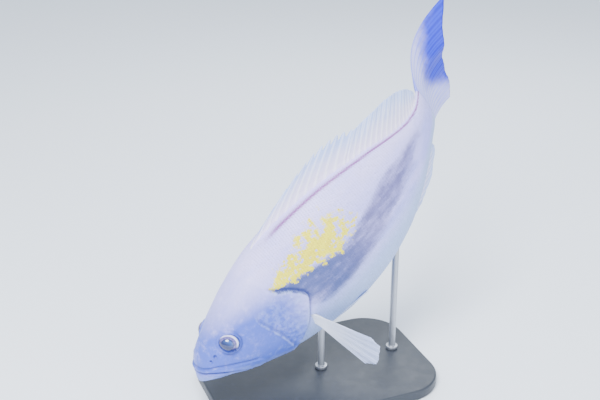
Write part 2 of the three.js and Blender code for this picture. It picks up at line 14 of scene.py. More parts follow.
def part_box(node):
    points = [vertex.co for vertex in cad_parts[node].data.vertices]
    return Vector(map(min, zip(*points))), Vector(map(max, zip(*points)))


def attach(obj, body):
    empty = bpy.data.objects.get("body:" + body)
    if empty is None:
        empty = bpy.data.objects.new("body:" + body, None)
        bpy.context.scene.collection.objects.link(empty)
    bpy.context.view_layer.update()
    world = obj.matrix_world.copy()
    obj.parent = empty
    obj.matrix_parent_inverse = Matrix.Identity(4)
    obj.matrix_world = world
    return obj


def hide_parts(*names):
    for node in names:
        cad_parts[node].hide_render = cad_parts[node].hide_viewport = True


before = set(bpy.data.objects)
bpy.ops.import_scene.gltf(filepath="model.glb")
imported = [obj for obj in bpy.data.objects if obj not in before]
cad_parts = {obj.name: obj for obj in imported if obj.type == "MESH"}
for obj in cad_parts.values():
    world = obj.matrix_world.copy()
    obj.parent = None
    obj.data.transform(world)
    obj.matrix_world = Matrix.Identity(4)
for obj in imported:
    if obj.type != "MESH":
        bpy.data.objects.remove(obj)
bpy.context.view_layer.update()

MM = 0.001
LENGTH = 0.54  # snout to the root of the tail fin

# Pose
TAIL_TURN = math.radians(54)
HEAD_TURN = math.radians(14)
DIVE_ANGLE = math.radians(33.6)
NECK = 0.4

# Outlines of the body as [station, size]
TIP = -0.006
NOSE_ROUNDING = 0.045
NOSE_FADE = 0.024  # reliefs grow from nothing over this share behind the tip
SECTION_POWER = 2.25
BACK = [
    [-0.006, -0.006], [0.02, 0.022], [0.06, 0.049], [0.13, 0.082], [0.22, 0.114], [0.31, 0.136],
    [0.42, 0.152], [0.55, 0.153], [0.7, 0.124], [0.83, 0.079], [0.92, 0.059], [1, 0.06],
]
BELLY = [
    [-0.006, -0.024], [0.02, -0.037], [0.06, -0.067], [0.13, -0.119], [0.22, -0.161], [0.31, -0.187],
    [0.42, -0.196], [0.55, -0.178], [0.68, -0.138], [0.8, -0.089], [0.9, -0.056], [1, -0.054],
]
HALF_WIDTH = [
    [-0.006, 0.034], [0.03, 0.05], [0.07, 0.061], [0.13, 0.072], [0.22, 0.082], [0.32, 0.088],
    [0.42, 0.088], [0.55, 0.078], [0.7, 0.054], [0.83, 0.031], [0.93, 0.018], [1, 0.009],
]
WIDEST_LEVEL = [[-0.006, -0.024], [0.06, -0.022], [0.2, -0.018], [0.45, -0.012], [1, 0.002]]

# Lines on the flank in the side view
GILL_EDGE = [
    [0.21, 0.2], [0.248, 0.09], [0.275, 0.046], [0.303, 0.026], [0.328, 0.002], [0.342, -0.026],
    [0.322, -0.06], [0.298, -0.092], [0.262, -0.122], [0.222, -0.152], [0.18, -0.22],
]
CHEEK_EDGE = [[0.262, 0.044], [0.22, 0.046], [0.189, 0.024], [0.197, -0.018], [0.212, -0.07], [0.222, -0.124]]
MOUTH_LINE = [[-0.06, 0.021], [0.0, 0.0005], [0.03, -0.0115], [0.073, -0.051], [0.1, -0.082]]
LIP_GROOVE = [[-0.03, 0.026], [0.014, 0.009], [0.045, -0.003], [0.1, -0.044], [0.128, -0.066]]
JAW_REAR = [[0.1, -0.082], [0.126, -0.106], [0.136, -0.14]]
UPPER_JAW_END = [[0.128, -0.066], [0.142, -0.082], [0.143, -0.098], [0.126, -0.106], [0.1, -0.082]]
GILL_SPINES = [
    [[0.285, 0.012], [0.318, 0.0]],
    [[0.286, -0.012], [0.334, -0.02]],
    [[0.276, -0.04], [0.312, -0.05]],
]
THROAT_FOLDS = [
    [[0.13, -0.112 - drop], [0.18, -0.135 - drop], [0.235, -0.146 - drop]] for drop in (0.0, 0.012, 0.024)
]
LATERAL_LINE = [
    [0.262, 0.058], [0.32, 0.092], [0.42, 0.1], [0.55, 0.092], [0.7, 0.066], [0.83, 0.032],
    [0.92, 0.012], [1.0, 0.006],
]

EYE_PLACE = [0.104, 0.027]
EYE_RADIUS = 15.5 * MM
EYE_BULGE = 9.5 * MM
EYE_SLANT = [0.66, -0.75]  # the way the eye's opening is longest, in the side view
EYE_FLATTENED = 0.15  # how much the eyeball is lower than long
LID_RADIUS = 15 * MM
LID_WIDTH = 1.9 * MM
LID_HEIGHT = 2.1 * MM
LID_SWELL = 2.0 * MM  # more height over the eye's short way
LID_SHORT_WAY = 1.42  # these two make the round opening an oval
LID_LONG_WAY = 0.56
SOCKET_GAP = 3 * MM
SOCKET_EDGE = [13.2 * MM, 14.3 * MM]
PLAIN_FROM = [14 * MM, 20 * MM]
NOSTRILS = [[0.042, 0.018, 2.2 * MM], [0.057, 0.022, 3.0 * MM]]

# Reliefs of the head, as heights over the plain body
GILL_RISE = 3.0 * MM
GILL_SINK = 3.6 * MM
CHEEK_RIDGE = 1.3 * MM
COVER_FOLD = 0.5 * MM
SPINE_HEIGHT = 1.1 * MM
LIP_HEIGHT = 1.0 * MM
MOUTH_DEPTH = 2.6 * MM
GROOVE_DEPTH = 1.5 * MM
JAW_PLATE_HEIGHT = 1.2 * MM
JAW_REAR_DEPTH = 0.8 * MM
THROAT_DEPTH = 0.6 * MM
NOSTRIL_RIM = 0.9 * MM
NOSTRIL_DEPTH = 2.2 * MM
LATERAL_BEAD = 0.45 * MM
LATERAL_SCALES = 74
FLESH_SIZE = 45 * MM
FLESH_HEIGHT = 0.5 * MM


# Curves and the bent frame of the fish


def smooth_through(pairs):
    """A smooth function through [x, value] pairs."""
    xs, ys = np.array(pairs, float).T
    before = np.maximum(np.arange(len(xs)) - 1, 0)
    after = np.minimum(np.arange(len(xs)) + 1, len(xs) - 1)
    slopes = (ys[after] - ys[before]) / (xs[after] - xs[before])

    def value(x):
        x = np.asarray(x, float)
        i = np.clip(np.searchsorted(xs, x) - 1, 0, len(xs) - 2)
        width = xs[i + 1] - xs[i]
        t = np.clip((x - xs[i]) / width, 0, 1)
        u = 1 - t
        flat = ys[i] * u * u * (1 + 2 * t) + ys[i + 1] * t * t * (3 - 2 * t)
        return flat + slopes[i] * width * t * u * u - slopes[i + 1] * width * t * t * u

    return value


back_at, belly_at, half_width_at, widest_at = (
    smooth_through(table) for table in (BACK, BELLY, HALF_WIDTH, WIDEST_LEVEL)
)


def smoothstep(x, low, high):
    t = np.clip((np.asarray(x, float) - low) / (high - low), 0, 1)
    return t * t * (3 - 2 * t)


def bump(distance, width):
    return np.exp(-((distance / width) ** 2))


def mix(a, b, share):
    return a + (b - a) * share


def curved(points, steps=24):
    """More points along a smooth line through a few."""
    points = np.array(points, float)
    padded = np.vstack([2 * points[0] - points[1], points, 2 * points[-1] - points[-2]])
    line = []
    for k in range(len(points) - 1):
        p0, p1, p2, p3 = padded[k : k + 4]
        for t in np.linspace(0, 1, max(2, steps // (len(points) - 1)), endpoint=False):
            line.append(
                0.5 * (2 * p1 + (p2 - p0) * t + (2 * p0 - 5 * p1 + 4 * p2 - p3) * t**2)
                + 0.5 * (3 * p1 - p0 - 3 * p2 + p3) * t**3
            )
    return np.array([*line, points[-1]])


def section(station):
    """Middle level, reach up, reach down and half width, in metres."""
    t = np.clip((station - TIP) / NOSE_ROUNDING, 0, 1)
    rounding = np.sqrt(1 - (1 - t) ** 2)
    middle = widest_at(station)
    up = (back_at(station) - middle) * rounding
    down = (middle - belly_at(station)) * rounding
    side = half_width_at(station) * rounding
    return middle * LENGTH, up * LENGTH, down * LENGTH, side * LENGTH


def body_point(station, angle):
    """A point of the plain body. Angle 0 is the middle of the back, a quarter turn the right side."""
    middle, up, down, side = section(station)
    c, s = np.cos(angle), np.sin(angle)
    across = np.sign(s) * np.abs(s) ** (2 / SECTION_POWER)
    along = np.sign(c) * np.abs(c) ** (2 / SECTION_POWER)
    height = middle + along * np.where(along > 0, up, down)
    return np.stack([station * LENGTH, side * across, height], -1)


def body_normal(station, angle):
    step = 1e-3
    along = body_point(station + step, angle) - body_point(station - step, angle)
    around = body_point(station, angle + step) - body_point(station, angle - step)
    normal = np.cross(along, around)
    length = np.linalg.norm(normal, axis=-1, keepdims=True)
    normal = normal / np.maximum(length, 1e-12)
    nose = np.array([-1.0, 0, 0])
    return np.where(length > 1e-12, normal, nose)


def side_offset(x, z):
    """Half the body's width in metres, at a place of the side view."""
    middle, up, down, side = section(np.asarray(x, float))
    reach = np.where(z * LENGTH > middle, up, down)
    share = np.clip(np.abs(z * LENGTH - middle) / reach, 0, 1)
    return side * (1 - share**SECTION_POWER) ** (1 / SECTION_POWER)


def flank_frame(x, z, side):
    """A point of the flank and the way out of it, at a place of the side view."""
    step = 0.004
    slope_x = (side_offset(x + step, z) - side_offset(x - step, z)) / (2 * step * LENGTH)
    slope_z = (side_offset(x, z + step) - side_offset(x, z - step)) / (2 * step * LENGTH)
    point = np.array([x * LENGTH, side * float(side_offset(x, z)), z * LENGTH])
    normal = np.array([-float(slope_x), side, -float(slope_z)])
    return point, normal / np.linalg.norm(normal)


def heading(station):
    """How far the fish's middle line is turned sideways, in radians."""
    ahead = smoothstep(0.42 - station, 0, 0.24)
    t = np.clip((station - NECK) / (1 - NECK), 0, 1)
    past_root = smoothstep(station, 1.0, 1.25)
    return HEAD_TURN * ahead + TAIL_TURN * t * t * (1.6 - 0.6 * t) * (1 - 0.8 * past_root)


SPINE_STATIONS = np.linspace(-0.1, 1.4, 3001)
SPINE_STEP = SPINE_STATIONS[1] - SPINE_STATIONS[0]
spine_heading = heading((SPINE_STATIONS[1:] + SPINE_STATIONS[:-1]) / 2)
SPINE_X = np.concatenate([[0], np.cumsum(np.cos(spine_heading)) * SPINE_STEP])
SPINE_Y = np.concatenate([[0], np.cumsum(np.sin(spine_heading)) * SPINE_STEP])
neck_index = int(np.argmin(np.abs(SPINE_STATIONS - NECK)))
SPINE_X = SPINE_X - SPINE_X[neck_index] + NECK
SPINE_Y = SPINE_Y - SPINE_Y[neck_index]


def bent(points):
    """Bends straight points sideways and pitches them, before the fish is set in place."""
    station = points[..., 0] / LENGTH
    turn = heading(station)
    x = np.interp(station, SPINE_STATIONS, SPINE_X) * LENGTH - np.sin(turn) * points[..., 1]
    y = np.interp(station, SPINE_STATIONS, SPINE_Y) * LENGTH + np.cos(turn) * points[..., 1]
    z = points[..., 2]
    cos_dive, sin_dive = math.cos(DIVE_ANGLE), math.sin(DIVE_ANGLE)
    return np.stack([x * cos_dive - z * sin_dive, y, x * sin_dive + z * cos_dive], -1)


def eye_seat(side):
    point, normal = flank_frame(*EYE_PLACE, side)
    return point + normal * (EYE_BULGE - EYE_RADIUS), normal


def fish_place():
    """Where the frame holds the fish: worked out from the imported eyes."""
    moves = []
    for name, side in (("eye_left", -1), ("eye_right", 1)):
        low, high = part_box(name)
        moves.append(np.array((low + high) / 2) - bent(eye_seat(side)[0]))
    return np.mean(moves, axis=0)


FISH_PLACE = fish_place()


def placed(points):
    return bent(points) + FISH_PLACE


# Shaping the head and flanks


def line_distance(line, x, z):
    """Distance in metres to a line of the side view, the side it lies on and the share along it.

    The side is 1 on the right of the line as it runs, and -1 on its left."""
    line = np.asarray(line, float)
    best = np.full(np.shape(x), np.inf)
    sign = np.ones(np.shape(x))
    share = np.zeros(np.shape(x))
    for k in range(len(line) - 1):
        (xa, za), (xb, zb) = line[k], line[k + 1]
        run_x, run_z = xb - xa, zb - za
        t = np.clip(((x - xa) * run_x + (z - za) * run_z) / (run_x**2 + run_z**2), 0, 1)
        off_x, off_z = x - xa - run_x * t, z - za - run_z * t
        distance = np.hypot(off_x, off_z)
        nearer = distance < best
        best = np.where(nearer, distance, best)
        sign = np.where(nearer, np.sign(run_z * (x - xa) - run_x * (z - za)), sign)
        share = np.where(nearer, (k + t) / (len(line) - 1), share)
    return best * LENGTH, sign, share


def inside(outline, x, z):
    """Whether places of the side view lie in a closed outline."""
    outline = np.asarray(outline, float)
    result = np.zeros(np.shape(x), bool)
    for (xa, za), (xb, zb) in zip(outline, np.roll(outline, -1, axis=0)):
        crosses = (za > z) != (zb > z)
        at = xa + (z - za) * (xb - xa) / np.where(zb == za, 1e-12, zb - za)
        result ^= crosses & (x < at)
    return result


gill_line = curved(GILL_EDGE, 60)
cheek_line = curved(CHEEK_EDGE, 40)
mouth_line = curved(MOUTH_LINE, 32)
groove_line = curved(LIP_GROOVE, 32)
jaw_plate = np.vstack([groove_line, curved(UPPER_JAW_END, 20), mouth_line[::-1]])
lateral_line = curved(LATERAL_LINE, 56)


def gill_relief(x, z):
    distance, sign, _ = line_distance(gill_line, x, z)
    live = smoothstep(z, 0.07, 0.04) * smoothstep(z, -0.19, -0.15)
    raised = GILL_RISE * np.exp(-((distance / (26 * MM)) ** 1.3)) * smoothstep(distance, 0, 1.2 * MM)
    sunk = -GILL_SINK * bump(distance, 4.5 * MM)
    return live * np.where(sign > 0, raised, sunk)


def cover_relief(x, z):
    distance, sign, share = line_distance(cheek_line, x, z)
    ridge = bump(distance, 1.4 * MM) - bump(distance - 3.4 * MM, 2.2 * MM) * (sign < 0)
    relief = CHEEK_RIDGE * ridge * smoothstep(share, 0.25, 0.4)
    gill_distance, gill_sign, _ = line_distance(gill_line, x, z)
    cover = smoothstep(x, 0.2, 0.225) * smoothstep(gill_distance, 1 * MM, 6 * MM)
    cover = cover * (gill_sign > 0) * smoothstep(z, 0.045, 0.03)
    spread = np.arctan2(z + 0.035, x - 0.17)
    folds = np.sin(spread * 17 + 3 * np.sin(x * 60)) * np.sin(x * 150 + 2 * z * 90)
    relief = relief + cover * folds * COVER_FOLD
    for spine in GILL_SPINES:
        distance, _, share = line_distance(spine, x, z)
        relief = relief + SPINE_HEIGHT * bump(distance, 1.5 * MM) * smoothstep(share, 0, 0.6)
    return relief


def mouth_relief(x, z):
    distance, sign, _ = line_distance(mouth_line, x, z)
    lip = np.where(sign > 0, 1.1, 1.0) * LIP_HEIGHT * bump(distance - 2.8 * MM, 2.2 * MM)
    relief = lip - MOUTH_DEPTH * bump(distance, 1.0 * MM)
    distance, _, _ = line_distance(groove_line, x, z)
    relief = relief - GROOVE_DEPTH * bump(distance, 1.1 * MM)
    edge, _, _ = line_distance(jaw_plate, x, z)
    relief = relief + inside(jaw_plate, x, z) * JAW_PLATE_HEIGHT * smoothstep(edge, 0, 2 * MM)
    distance, _, _ = line_distance(JAW_REAR, x, z)
    relief = relief - JAW_REAR_DEPTH * bump(distance, 1.2 * MM)
    for fold in THROAT_FOLDS:
        distance, _, share = line_distance(fold, x, z)
        relief = relief - THROAT_DEPTH * bump(distance, 1.3 * MM) * np.sin(np.pi * share)
    return relief


def nostril_relief(x, z):
    relief = np.zeros(np.shape(x))
    for at_x, at_z, radius in NOSTRILS:
        distance = np.hypot(x - at_x, z - at_z) * LENGTH
        relief = relief + NOSTRIL_RIM * bump(distance - radius, 0.8 * MM)
        relief = relief - NOSTRIL_DEPTH * smoothstep(distance, radius * 0.85, radius * 0.35)
    return relief


def line_relief(x, z):
    distance, _, share = line_distance(lateral_line, x, z)
    beads = 0.7 + 0.3 * np.sin(share * 2 * np.pi * LATERAL_SCALES)
    return LATERAL_BEAD * bump(distance, 1.4 * MM) * beads * smoothstep(share, 0, 0.03)


def eye_relief(points, plain):
    """The socket and the raised rim round each eye, which take the place of the plain relief."""
    relief = plain
    for side in (-1, 1):
        middle, axis = eye_seat(side)
        to_point = points - middle
        height = to_point @ axis
        flat = to_point - height[..., None] * axis
        radius = np.linalg.norm(flat, axis=-1)
        lengthwise = flat @ np.array([EYE_SLANT[0], 0, EYE_SLANT[1]])
        lid = 1 - (lengthwise / np.maximum(radius, 1e-6)) ** 2
        radius = np.sqrt(np.maximum(radius**2 * LID_SHORT_WAY - lengthwise**2 * LID_LONG_WAY, 0))
        near = (height > 0) & (radius < LID_RADIUS + 11 * MM)
        ball = np.sqrt(np.maximum(EYE_RADIUS**2 - np.minimum(radius, EYE_RADIUS) ** 2, 0))
        socket = ball - SOCKET_GAP - height
        rim = (LID_HEIGHT + LID_SWELL * lid) * bump(radius - LID_RADIUS, LID_WIDTH)
        rim = rim - 0.8 * MM * bump(radius - LID_RADIUS - 4 * MM, 2 * MM)
        around = plain * smoothstep(radius, *PLAIN_FROM) + rim
        on_lid = smoothstep(radius, *SOCKET_EDGE)
        relief = np.where(near, mix(socket, around, on_lid), relief)
    return relief


def flesh_noise(points, size, detail):
    flat = points.reshape(-1, 3) / size
    values = [noise.fractal(Vector(p), 1.0, 2.0, detail) for p in flat]
    return np.array(values).reshape(points.shape[:-1])


def skin_point(station, angle):
    """A point of the finished skin, straight, with the way out of it."""
    points = body_point(station, angle)
    normals = body_normal(station, angle)
    x, z = points[..., 0] / LENGTH, points[..., 2] / LENGTH
    flank = smoothstep(np.abs(np.sin(angle)), 0.05, 0.3)
    relief = (gill_relief(x, z) + cover_relief(x, z) + nostril_relief(x, z) + line_relief(x, z)) * flank
    relief = relief + mouth_relief(x, z) * smoothstep(x, 0.3, 0.2)
    relief = eye_relief(points, relief)
    soft = flesh_noise(points, FLESH_SIZE, 2) * FLESH_HEIGHT
    relief = relief + soft * smoothstep(x, 0.0, 0.1)
    fade = smoothstep(station, TIP, TIP + NOSE_FADE)
    return points + normals * (relief * fade)[..., None], normals


# Making meshes


def vertex_places(mesh):
    places = np.zeros(len(mesh.vertices) * 3)
    mesh.vertices.foreach_get("co", places)
    return places.reshape(-1, 3)


def add_vectors(mesh, name, values):
    layer = mesh.attributes.new(name, "FLOAT_VECTOR", "POINT")
    layer.data.foreach_set("vector", np.ascontiguousarray(values, float).reshape(-1))


def read_vectors(mesh, name):
    values = np.zeros(len(mesh.vertices) * 3)
    mesh.attributes[name].data.foreach_get("vector", values)
    return values.reshape(-1, 3)


def face_outwards(weld=0.0):
    """Turns the faces of the active piece outwards, once vertices nearer than weld are merged."""
    bpy.ops.object.mode_set(mode="EDIT")
    bpy.ops.mesh.select_all(action="SELECT")
    if weld:
        bpy.ops.mesh.remove_doubles(threshold=weld)
    bpy.ops.mesh.normals_make_consistent(inside=False)
    bpy.ops.object.mode_set(mode="OBJECT")


def drop_uv_maps(mesh):
    while mesh.uv_layers:
        mesh.uv_layers.remove(mesh.uv_layers[0])


def grid_piece(name, columns, rows, points, straight=None, extra=None):
    """A grid primitive whose vertices are moved to points[column, row], then merged and closed."""
    bpy.ops.object.select_all(action="DESELECT")
    bpy.ops.mesh.primitive_grid_add(x_subdivisions=columns - 1, y_subdivisions=rows - 1, size=1)
    piece = bpy.context.active_object
    piece.name = name
    mesh = piece.data
    mesh.name = name
    flat = vertex_places(mesh)
    i = np.rint((flat[:, 0] + 0.5) * (columns - 1)).astype(int)
    j = np.rint((flat[:, 1] + 0.5) * (rows - 1)).astype(int)
    mesh.vertices.foreach_set("co", points[i, j].ravel())
    for label, values in (("straight", straight), ("ray_place", extra)):
        if values is not None:
            add_vectors(mesh, label, values[i, j])
    face_outwards(weld=1e-6)
    bpy.ops.object.shade_smooth()
    drop_uv_maps(mesh)
    return piece


def finish_piece(piece, material, slot, *nodes):
    piece.data.materials.clear()
    piece.data.materials.append(material)
    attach(piece, "root")
    if nodes:
        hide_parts(*nodes)
    return piece


# The skin


def ring_stations(count):
    """Stations of the skin's rings, closest over the head."""
    pace = smooth_through([[TIP, 0.25], [0.02, 0.8], [0.34, 0.9], [0.42, 1.9], [1.0, 2.2]])
    fine = np.linspace(TIP, 1, 4000)
    run = np.concatenate([[0], np.cumsum(1 / np.maximum(pace((fine[1:] + fine[:-1]) / 2), 0.1))])
    return np.interp(np.linspace(0, run[-1], count), run, fine)


SKIN_RINGS = 352
SKIN_SIDES = 264


def make_skin(material):
    stations = ring_stations(SKIN_RINGS)
    angles = np.linspace(0, 2 * np.pi, SKIN_SIDES + 1)
    station, angle = np.meshgrid(stations, angles, indexing="ij")
    points, _ = skin_point(station, angle)
    points[0] = [TIP * LENGTH, 0, float(widest_at(TIP)) * LENGTH]
    rear = points[-1].mean(axis=0)
    closing = [rear + (points[-1] - rear) * share for share in (0.7, 0.35, 0.0)]
    points = np.concatenate([points, np.stack(closing)])
    points[:, -1] = points[:, 0]
    straight = points.swapaxes(0, 1)
    skin = grid_piece("fish_skin", SKIN_SIDES + 1, len(points), placed(straight), straight)
    nodes = ["head", "lower_jaw", "gill_cover_left", "gill_cover_right", "trunk", "tail_stalk"]
    return finish_piece(skin, material, "skin", *nodes)


# Markings, with painted shade in folds and painted light under the throat, as masks over the flanks


BLOTCH_TOP = [
    [0.245, 0.066], [0.294, 0.075], [0.345, 0.096], [0.41, 0.112], [0.49, 0.124], [0.53, 0.105],
    [0.58, 0.075],
]
BLOTCH_FOOT = [
    [0.245, 0.058], [0.294, 0.038], [0.345, 0.028], [0.41, 0.02], [0.483, 0.013], [0.538, 0.022],
    [0.58, 0.055],
]
BAND_TOP = [
    [0.24, 0.056], [0.29, 0.044], [0.35, 0.034], [0.43, 0.02], [0.5, 0.012], [0.56, 0.032], [0.62, 0.048],
    [0.7, 0.06], [0.8, 0.046], [0.9, 0.034], [1.0, 0.02],
]
BAND_FOOT = [
    [0.24, 0.03], [0.3, -0.03], [0.34, -0.07], [0.39, -0.088], [0.45, -0.087], [0.527, -0.072],
    [0.611, -0.046], [0.683, -0.026], [0.78, -0.004], [0.88, 0.004], [1.0, 0.0],
]
blotch_top, blotch_foot, band_top, band_foot = (
    smooth_through(table) for table in (BLOTCH_TOP, BLOTCH_FOOT, BAND_TOP, BAND_FOOT)
)
band_strength = smooth_through(
    [[0.24, 0.95], [0.33, 1.0], [0.45, 0.92], [0.55, 0.85], [0.65, 0.78], [0.8, 0.62], [0.93, 0.0]]
)


def blotch_mask(x, z):
    middle = (blotch_top(x) + blotch_foot(x)) / 2
    half = np.maximum((blotch_top(x) - blotch_foot(x)) / 2, 0.003)
    ripple = 0.006 * np.sin(x * 95) * np.sin(x * 41 + 1)
    level = (z - middle + ripple) / half
    blotch = smoothstep(level, 1.5, 0.0) * smoothstep(level, -1.35, -0.5)
    return blotch * smoothstep(x, 0.23, 0.31) * smoothstep(x, 0.6, 0.47)


def band_mask(x, z, gill_distance, gill_sign):
    """The dark band, which starts at the gill's edge and is softer at its foot."""
    behind_gill = np.where(gill_sign < 0, 1, smoothstep(gill_distance, 4 * MM, 0))
    foot_soft = mix(0.03, 0.05, smoothstep(x, 0.42, 0.34) + 0.5 * smoothstep(x, 0.6, 0.75))
    band = smoothstep(z, band_foot(x) - foot_soft / 2, band_foot(x) + foot_soft)
    band = band * smoothstep(z, band_top(x) + 0.022, band_top(x) - 0.014)
    upper = smoothstep(z, band_foot(x), band_top(x))
    return band * np.clip(band_strength(x), 0, 1) * mix(0.85, 1, upper) * behind_gill


def blue_mask(x, z, gill_distance, gill_sign):
    """The blue of snout and throat, which fades past the gill's edge, and is painted paler towards the belly
    as painted light on the shaded underside.
    """
    snout = smoothstep(x, 0.34, 0.06)
    below = smoothstep(z, 0.1, 0.0)
    cover = (gill_sign > 0) * smoothstep(z, 0.06, 0.02) * smoothstep(x, 0.16, 0.24)
    blue = np.clip(snout * (0.5 + 0.5 * below) + below * smoothstep(x, 0.36, 0.26) * 0.55, 0, 1)
    blue = blue * np.where(gill_sign < 0, smoothstep(gill_distance, 30 * MM, 0) * 0.6, 1) + 0.18 * cover
    # Painted light: less blue towards the belly lifts the shaded underside of jaw and throat.
    return np.clip(blue * (1 - 0.3 * smoothstep(z - belly_at(x), 0.045, 0.01)), 0, 1)


def edge_masks(x, z):
    """The pale belly, the pale back and the line beside the dorsal fin."""
    belly = smoothstep(z / np.minimum(belly_at(x), -0.03), 0.2, 0.7)
    back = smoothstep(z / np.maximum(back_at(x), 0.03), 0.2, 0.85)
    ridge = back_at(x) - z
    dorsal = bump(ridge - 0.004, 0.0022) * smoothstep(x, 0.33, 0.4)
    return belly, back, dorsal


def crease_shade_mask(x, z, gill, cheek):
    """Painted shade in the folds of mouth, gills, eyes and nostrils."""
    # Painted shade along the mouth's line, the lip groove and the jaw's end.
    crease_shade = bump(line_distance(mouth_line, x, z)[0], 1.2 * MM) * (x < 0.12)
    crease_shade = np.maximum(crease_shade, 0.75 * bump(line_distance(groove_line, x, z)[0], 1.1 * MM))
    crease_shade = np.maximum(crease_shade, 0.5 * bump(line_distance(JAW_REAR, x, z)[0], 1.5 * MM))
    # Painted shade in the gill's opening behind the cover's edge.
    gill_distance, gill_sign, _ = gill
    slit_shade = gill_reach(z) * (gill_sign < 0) * bump(gill_distance - 0.6 * MM, 2.2 * MM)
    crease_shade = np.maximum(crease_shade, slit_shade)
    # Painted shade in the dip beside the cheek's ridge.
    cheek_distance, cheek_sign, cheek_share = cheek
    fold = bump(cheek_distance - 3 * MM, 2.2 * MM) * (cheek_sign < 0) * smoothstep(cheek_share, 0.3, 0.5)
    crease_shade = np.maximum(crease_shade, 0.45 * fold)
    # Painted shade of the socket beneath the eye.
    eye_x, eye_z = (x - EYE_PLACE[0]) * LENGTH, (z - EYE_PLACE[1]) * LENGTH
    beneath = smoothstep(eye_x * 0.35 - eye_z, -10 * MM, 12 * MM)
    lower_lid_shade = beneath * bump(np.hypot(eye_x, eye_z) - 15.5 * MM, 2.0 * MM)
    crease_shade = np.maximum(crease_shade, 0.85 * lower_lid_shade)
    # Painted shade inside the nostrils.
    for at_x, at_z, radius in NOSTRILS:
        from_nostril = np.hypot(x - at_x, z - at_z) * LENGTH
        crease_shade = np.maximum(crease_shade, 0.8 * smoothstep(from_nostril, radius, radius * 0.4))
    return crease_shade


def pale_mask(x, z, gill, cheek):
    """The pale ridge of the cheek, the gill cover's spines and spots, and its rim."""
    gill_distance, gill_sign, _ = gill
    cheek_distance, cheek_sign, cheek_share = cheek
    pale = 0.6 * bump(cheek_distance, 1.6 * MM) * smoothstep(cheek_share, 0.3, 0.5)
    for spine in GILL_SPINES:
        distance, _, share = line_distance(spine, x, z)
        pale = np.maximum(pale, bump(distance, 1.5 * MM) * smoothstep(share, 0, 0.5))
    live = gill_reach(z)
    cover = (gill_sign > 0) * (cheek_sign < 0) * smoothstep(z, 0.05, 0.03) * smoothstep(x, 0.18, 0.21)
    pale = np.maximum(pale, cover * live * 0.2)
    return np.maximum(pale, live * (gill_sign > 0) * 0.8 * bump(gill_distance - 1.5 * MM, 2 * MM))


def gill_reach(z):
    """1 where the gill's edge is open, and 0 above and below."""
    return smoothstep(z, 0.075, 0.04) * smoothstep(z, -0.18, -0.14)


def add_markings(mesh, straight):
    """The masks of all markings, of the painted shade in folds and of the painted light under the throat, at
    straight points, three to a vector.
    """
    x, z = straight[..., 0] / LENGTH, straight[..., 2] / LENGTH
    gill = line_distance(gill_line, x, z)
    cheek = line_distance(cheek_line, x, z)
    flank = [blotch_mask(x, z), band_mask(x, z, *gill[:2]), blue_mask(x, z, *gill[:2])]
    rear_band = smoothstep(x, 0.42, 0.62)
    # Painted shade of the folds, then the pale ridges and spots, then the band's share towards the tail.
    crease_shade_pale_rear = [crease_shade_mask(x, z, gill, cheek), pale_mask(x, z, gill, cheek), rear_band]
    add_vectors(mesh, "marks_flank", np.stack(flank, -1))
    add_vectors(mesh, "marks_edges", np.stack(edge_masks(x, z), -1))
    add_vectors(mesh, "marks_crease_shade_pale_rear", np.stack(crease_shade_pale_rear, -1))


# Scales


SCALE_PITCH = 3.7 * MM
SCALE_ROW = 3.1 * MM
SCALE_RIM = [  # tailwards, upwards and outwards, in millimetres
    [-1.35, 0.9, -0.34], [0.6, 1.62, -0.06], [2.1, 1.3, 0.24], [2.85, 0.0, 0.42],
    [2.1, -1.3, 0.24], [0.6, -1.62, -0.06], [-1.35, -0.9, -0.34],
]
SCALE_CROWN = [1.1, 0.0, 0.42]
SCALE_ROOT = [0.6, 0.0, -0.9]
SCALE_SHAPE = np.array([*SCALE_RIM, SCALE_CROWN, SCALE_ROOT]) * MM
SCALE_FREE = 4.5 * MM  # bare skin beside the middle lines of back and belly
SCALE_EDGE_TONE = [0, 0.3, 0.8, 1.0, 0.8, 0.3, 0, 0.35, 0.0]  # at rim, crown and root
BAKE_PATCH = 0.003  # how far BAKE_REACH of a scale goes on the bake map
BAKE_REACH = 5 * MM
SCALE_GROWTH = [4 * MM, 45 * MM]  # behind the gill edge the scales grow to their full height
FIRST_SCALE = 0.205
LAST_SCALE = 0.985
BARE_GILL_EDGE = 6 * MM


def scale_seats():
    """Each scale's station, its place along the ring there, and that ring's table of lengths and angles."""
    seats = []
    thetas = np.linspace(0.02, np.pi - 0.02, 400)
    middle = len(thetas) // 2
    columns = int((LAST_SCALE - FIRST_SCALE) * LENGTH / SCALE_PITCH)
    for k in range(columns):
        station = FIRST_SCALE + k * SCALE_PITCH / LENGTH
        line = body_point(np.full(len(thetas), station), thetas)
        arc = np.concatenate([[0], np.cumsum(np.linalg.norm(np.diff(line, axis=0), axis=1))])
        arc = arc - arc[middle]
        start = math.ceil((arc[0] + SCALE_FREE) / SCALE_ROW)
        stop = math.floor((arc[-1] - SCALE_FREE) / SCALE_ROW)
        for row in range(start, stop + 1):
            at = (row + 0.5 * (k % 2)) * SCALE_ROW
            if at < arc[-1] - SCALE_FREE:
                seats.append((station, at, arc, thetas))
    return seats


def scaled_seats(side):
    """Each scale's corners as stations and angles, its root, the root's point and its way from the gill."""
    stations, angles, roots = [], [], []
    for station, at, arc, thetas in scale_seats():
        roots.append((station, float(np.interp(at, arc, thetas))))
        stations.append(station + SCALE_SHAPE[:, 0] / LENGTH)
        angles.append(np.interp(at - SCALE_SHAPE[:, 1], arc, thetas))
    stations, angles, roots = np.array(stations), np.array(angles) * side, np.array(roots)
    seats = body_point(roots[:, 0], roots[:, 1] * side)
    distance, sign, _ = line_distance(gill_line, seats[:, 0] / LENGTH, seats[:, 2] / LENGTH)
    keep = (sign < 0) & (distance > BARE_GILL_EDGE)
    return [values[keep] for values in (stations, angles, roots, seats, distance)]


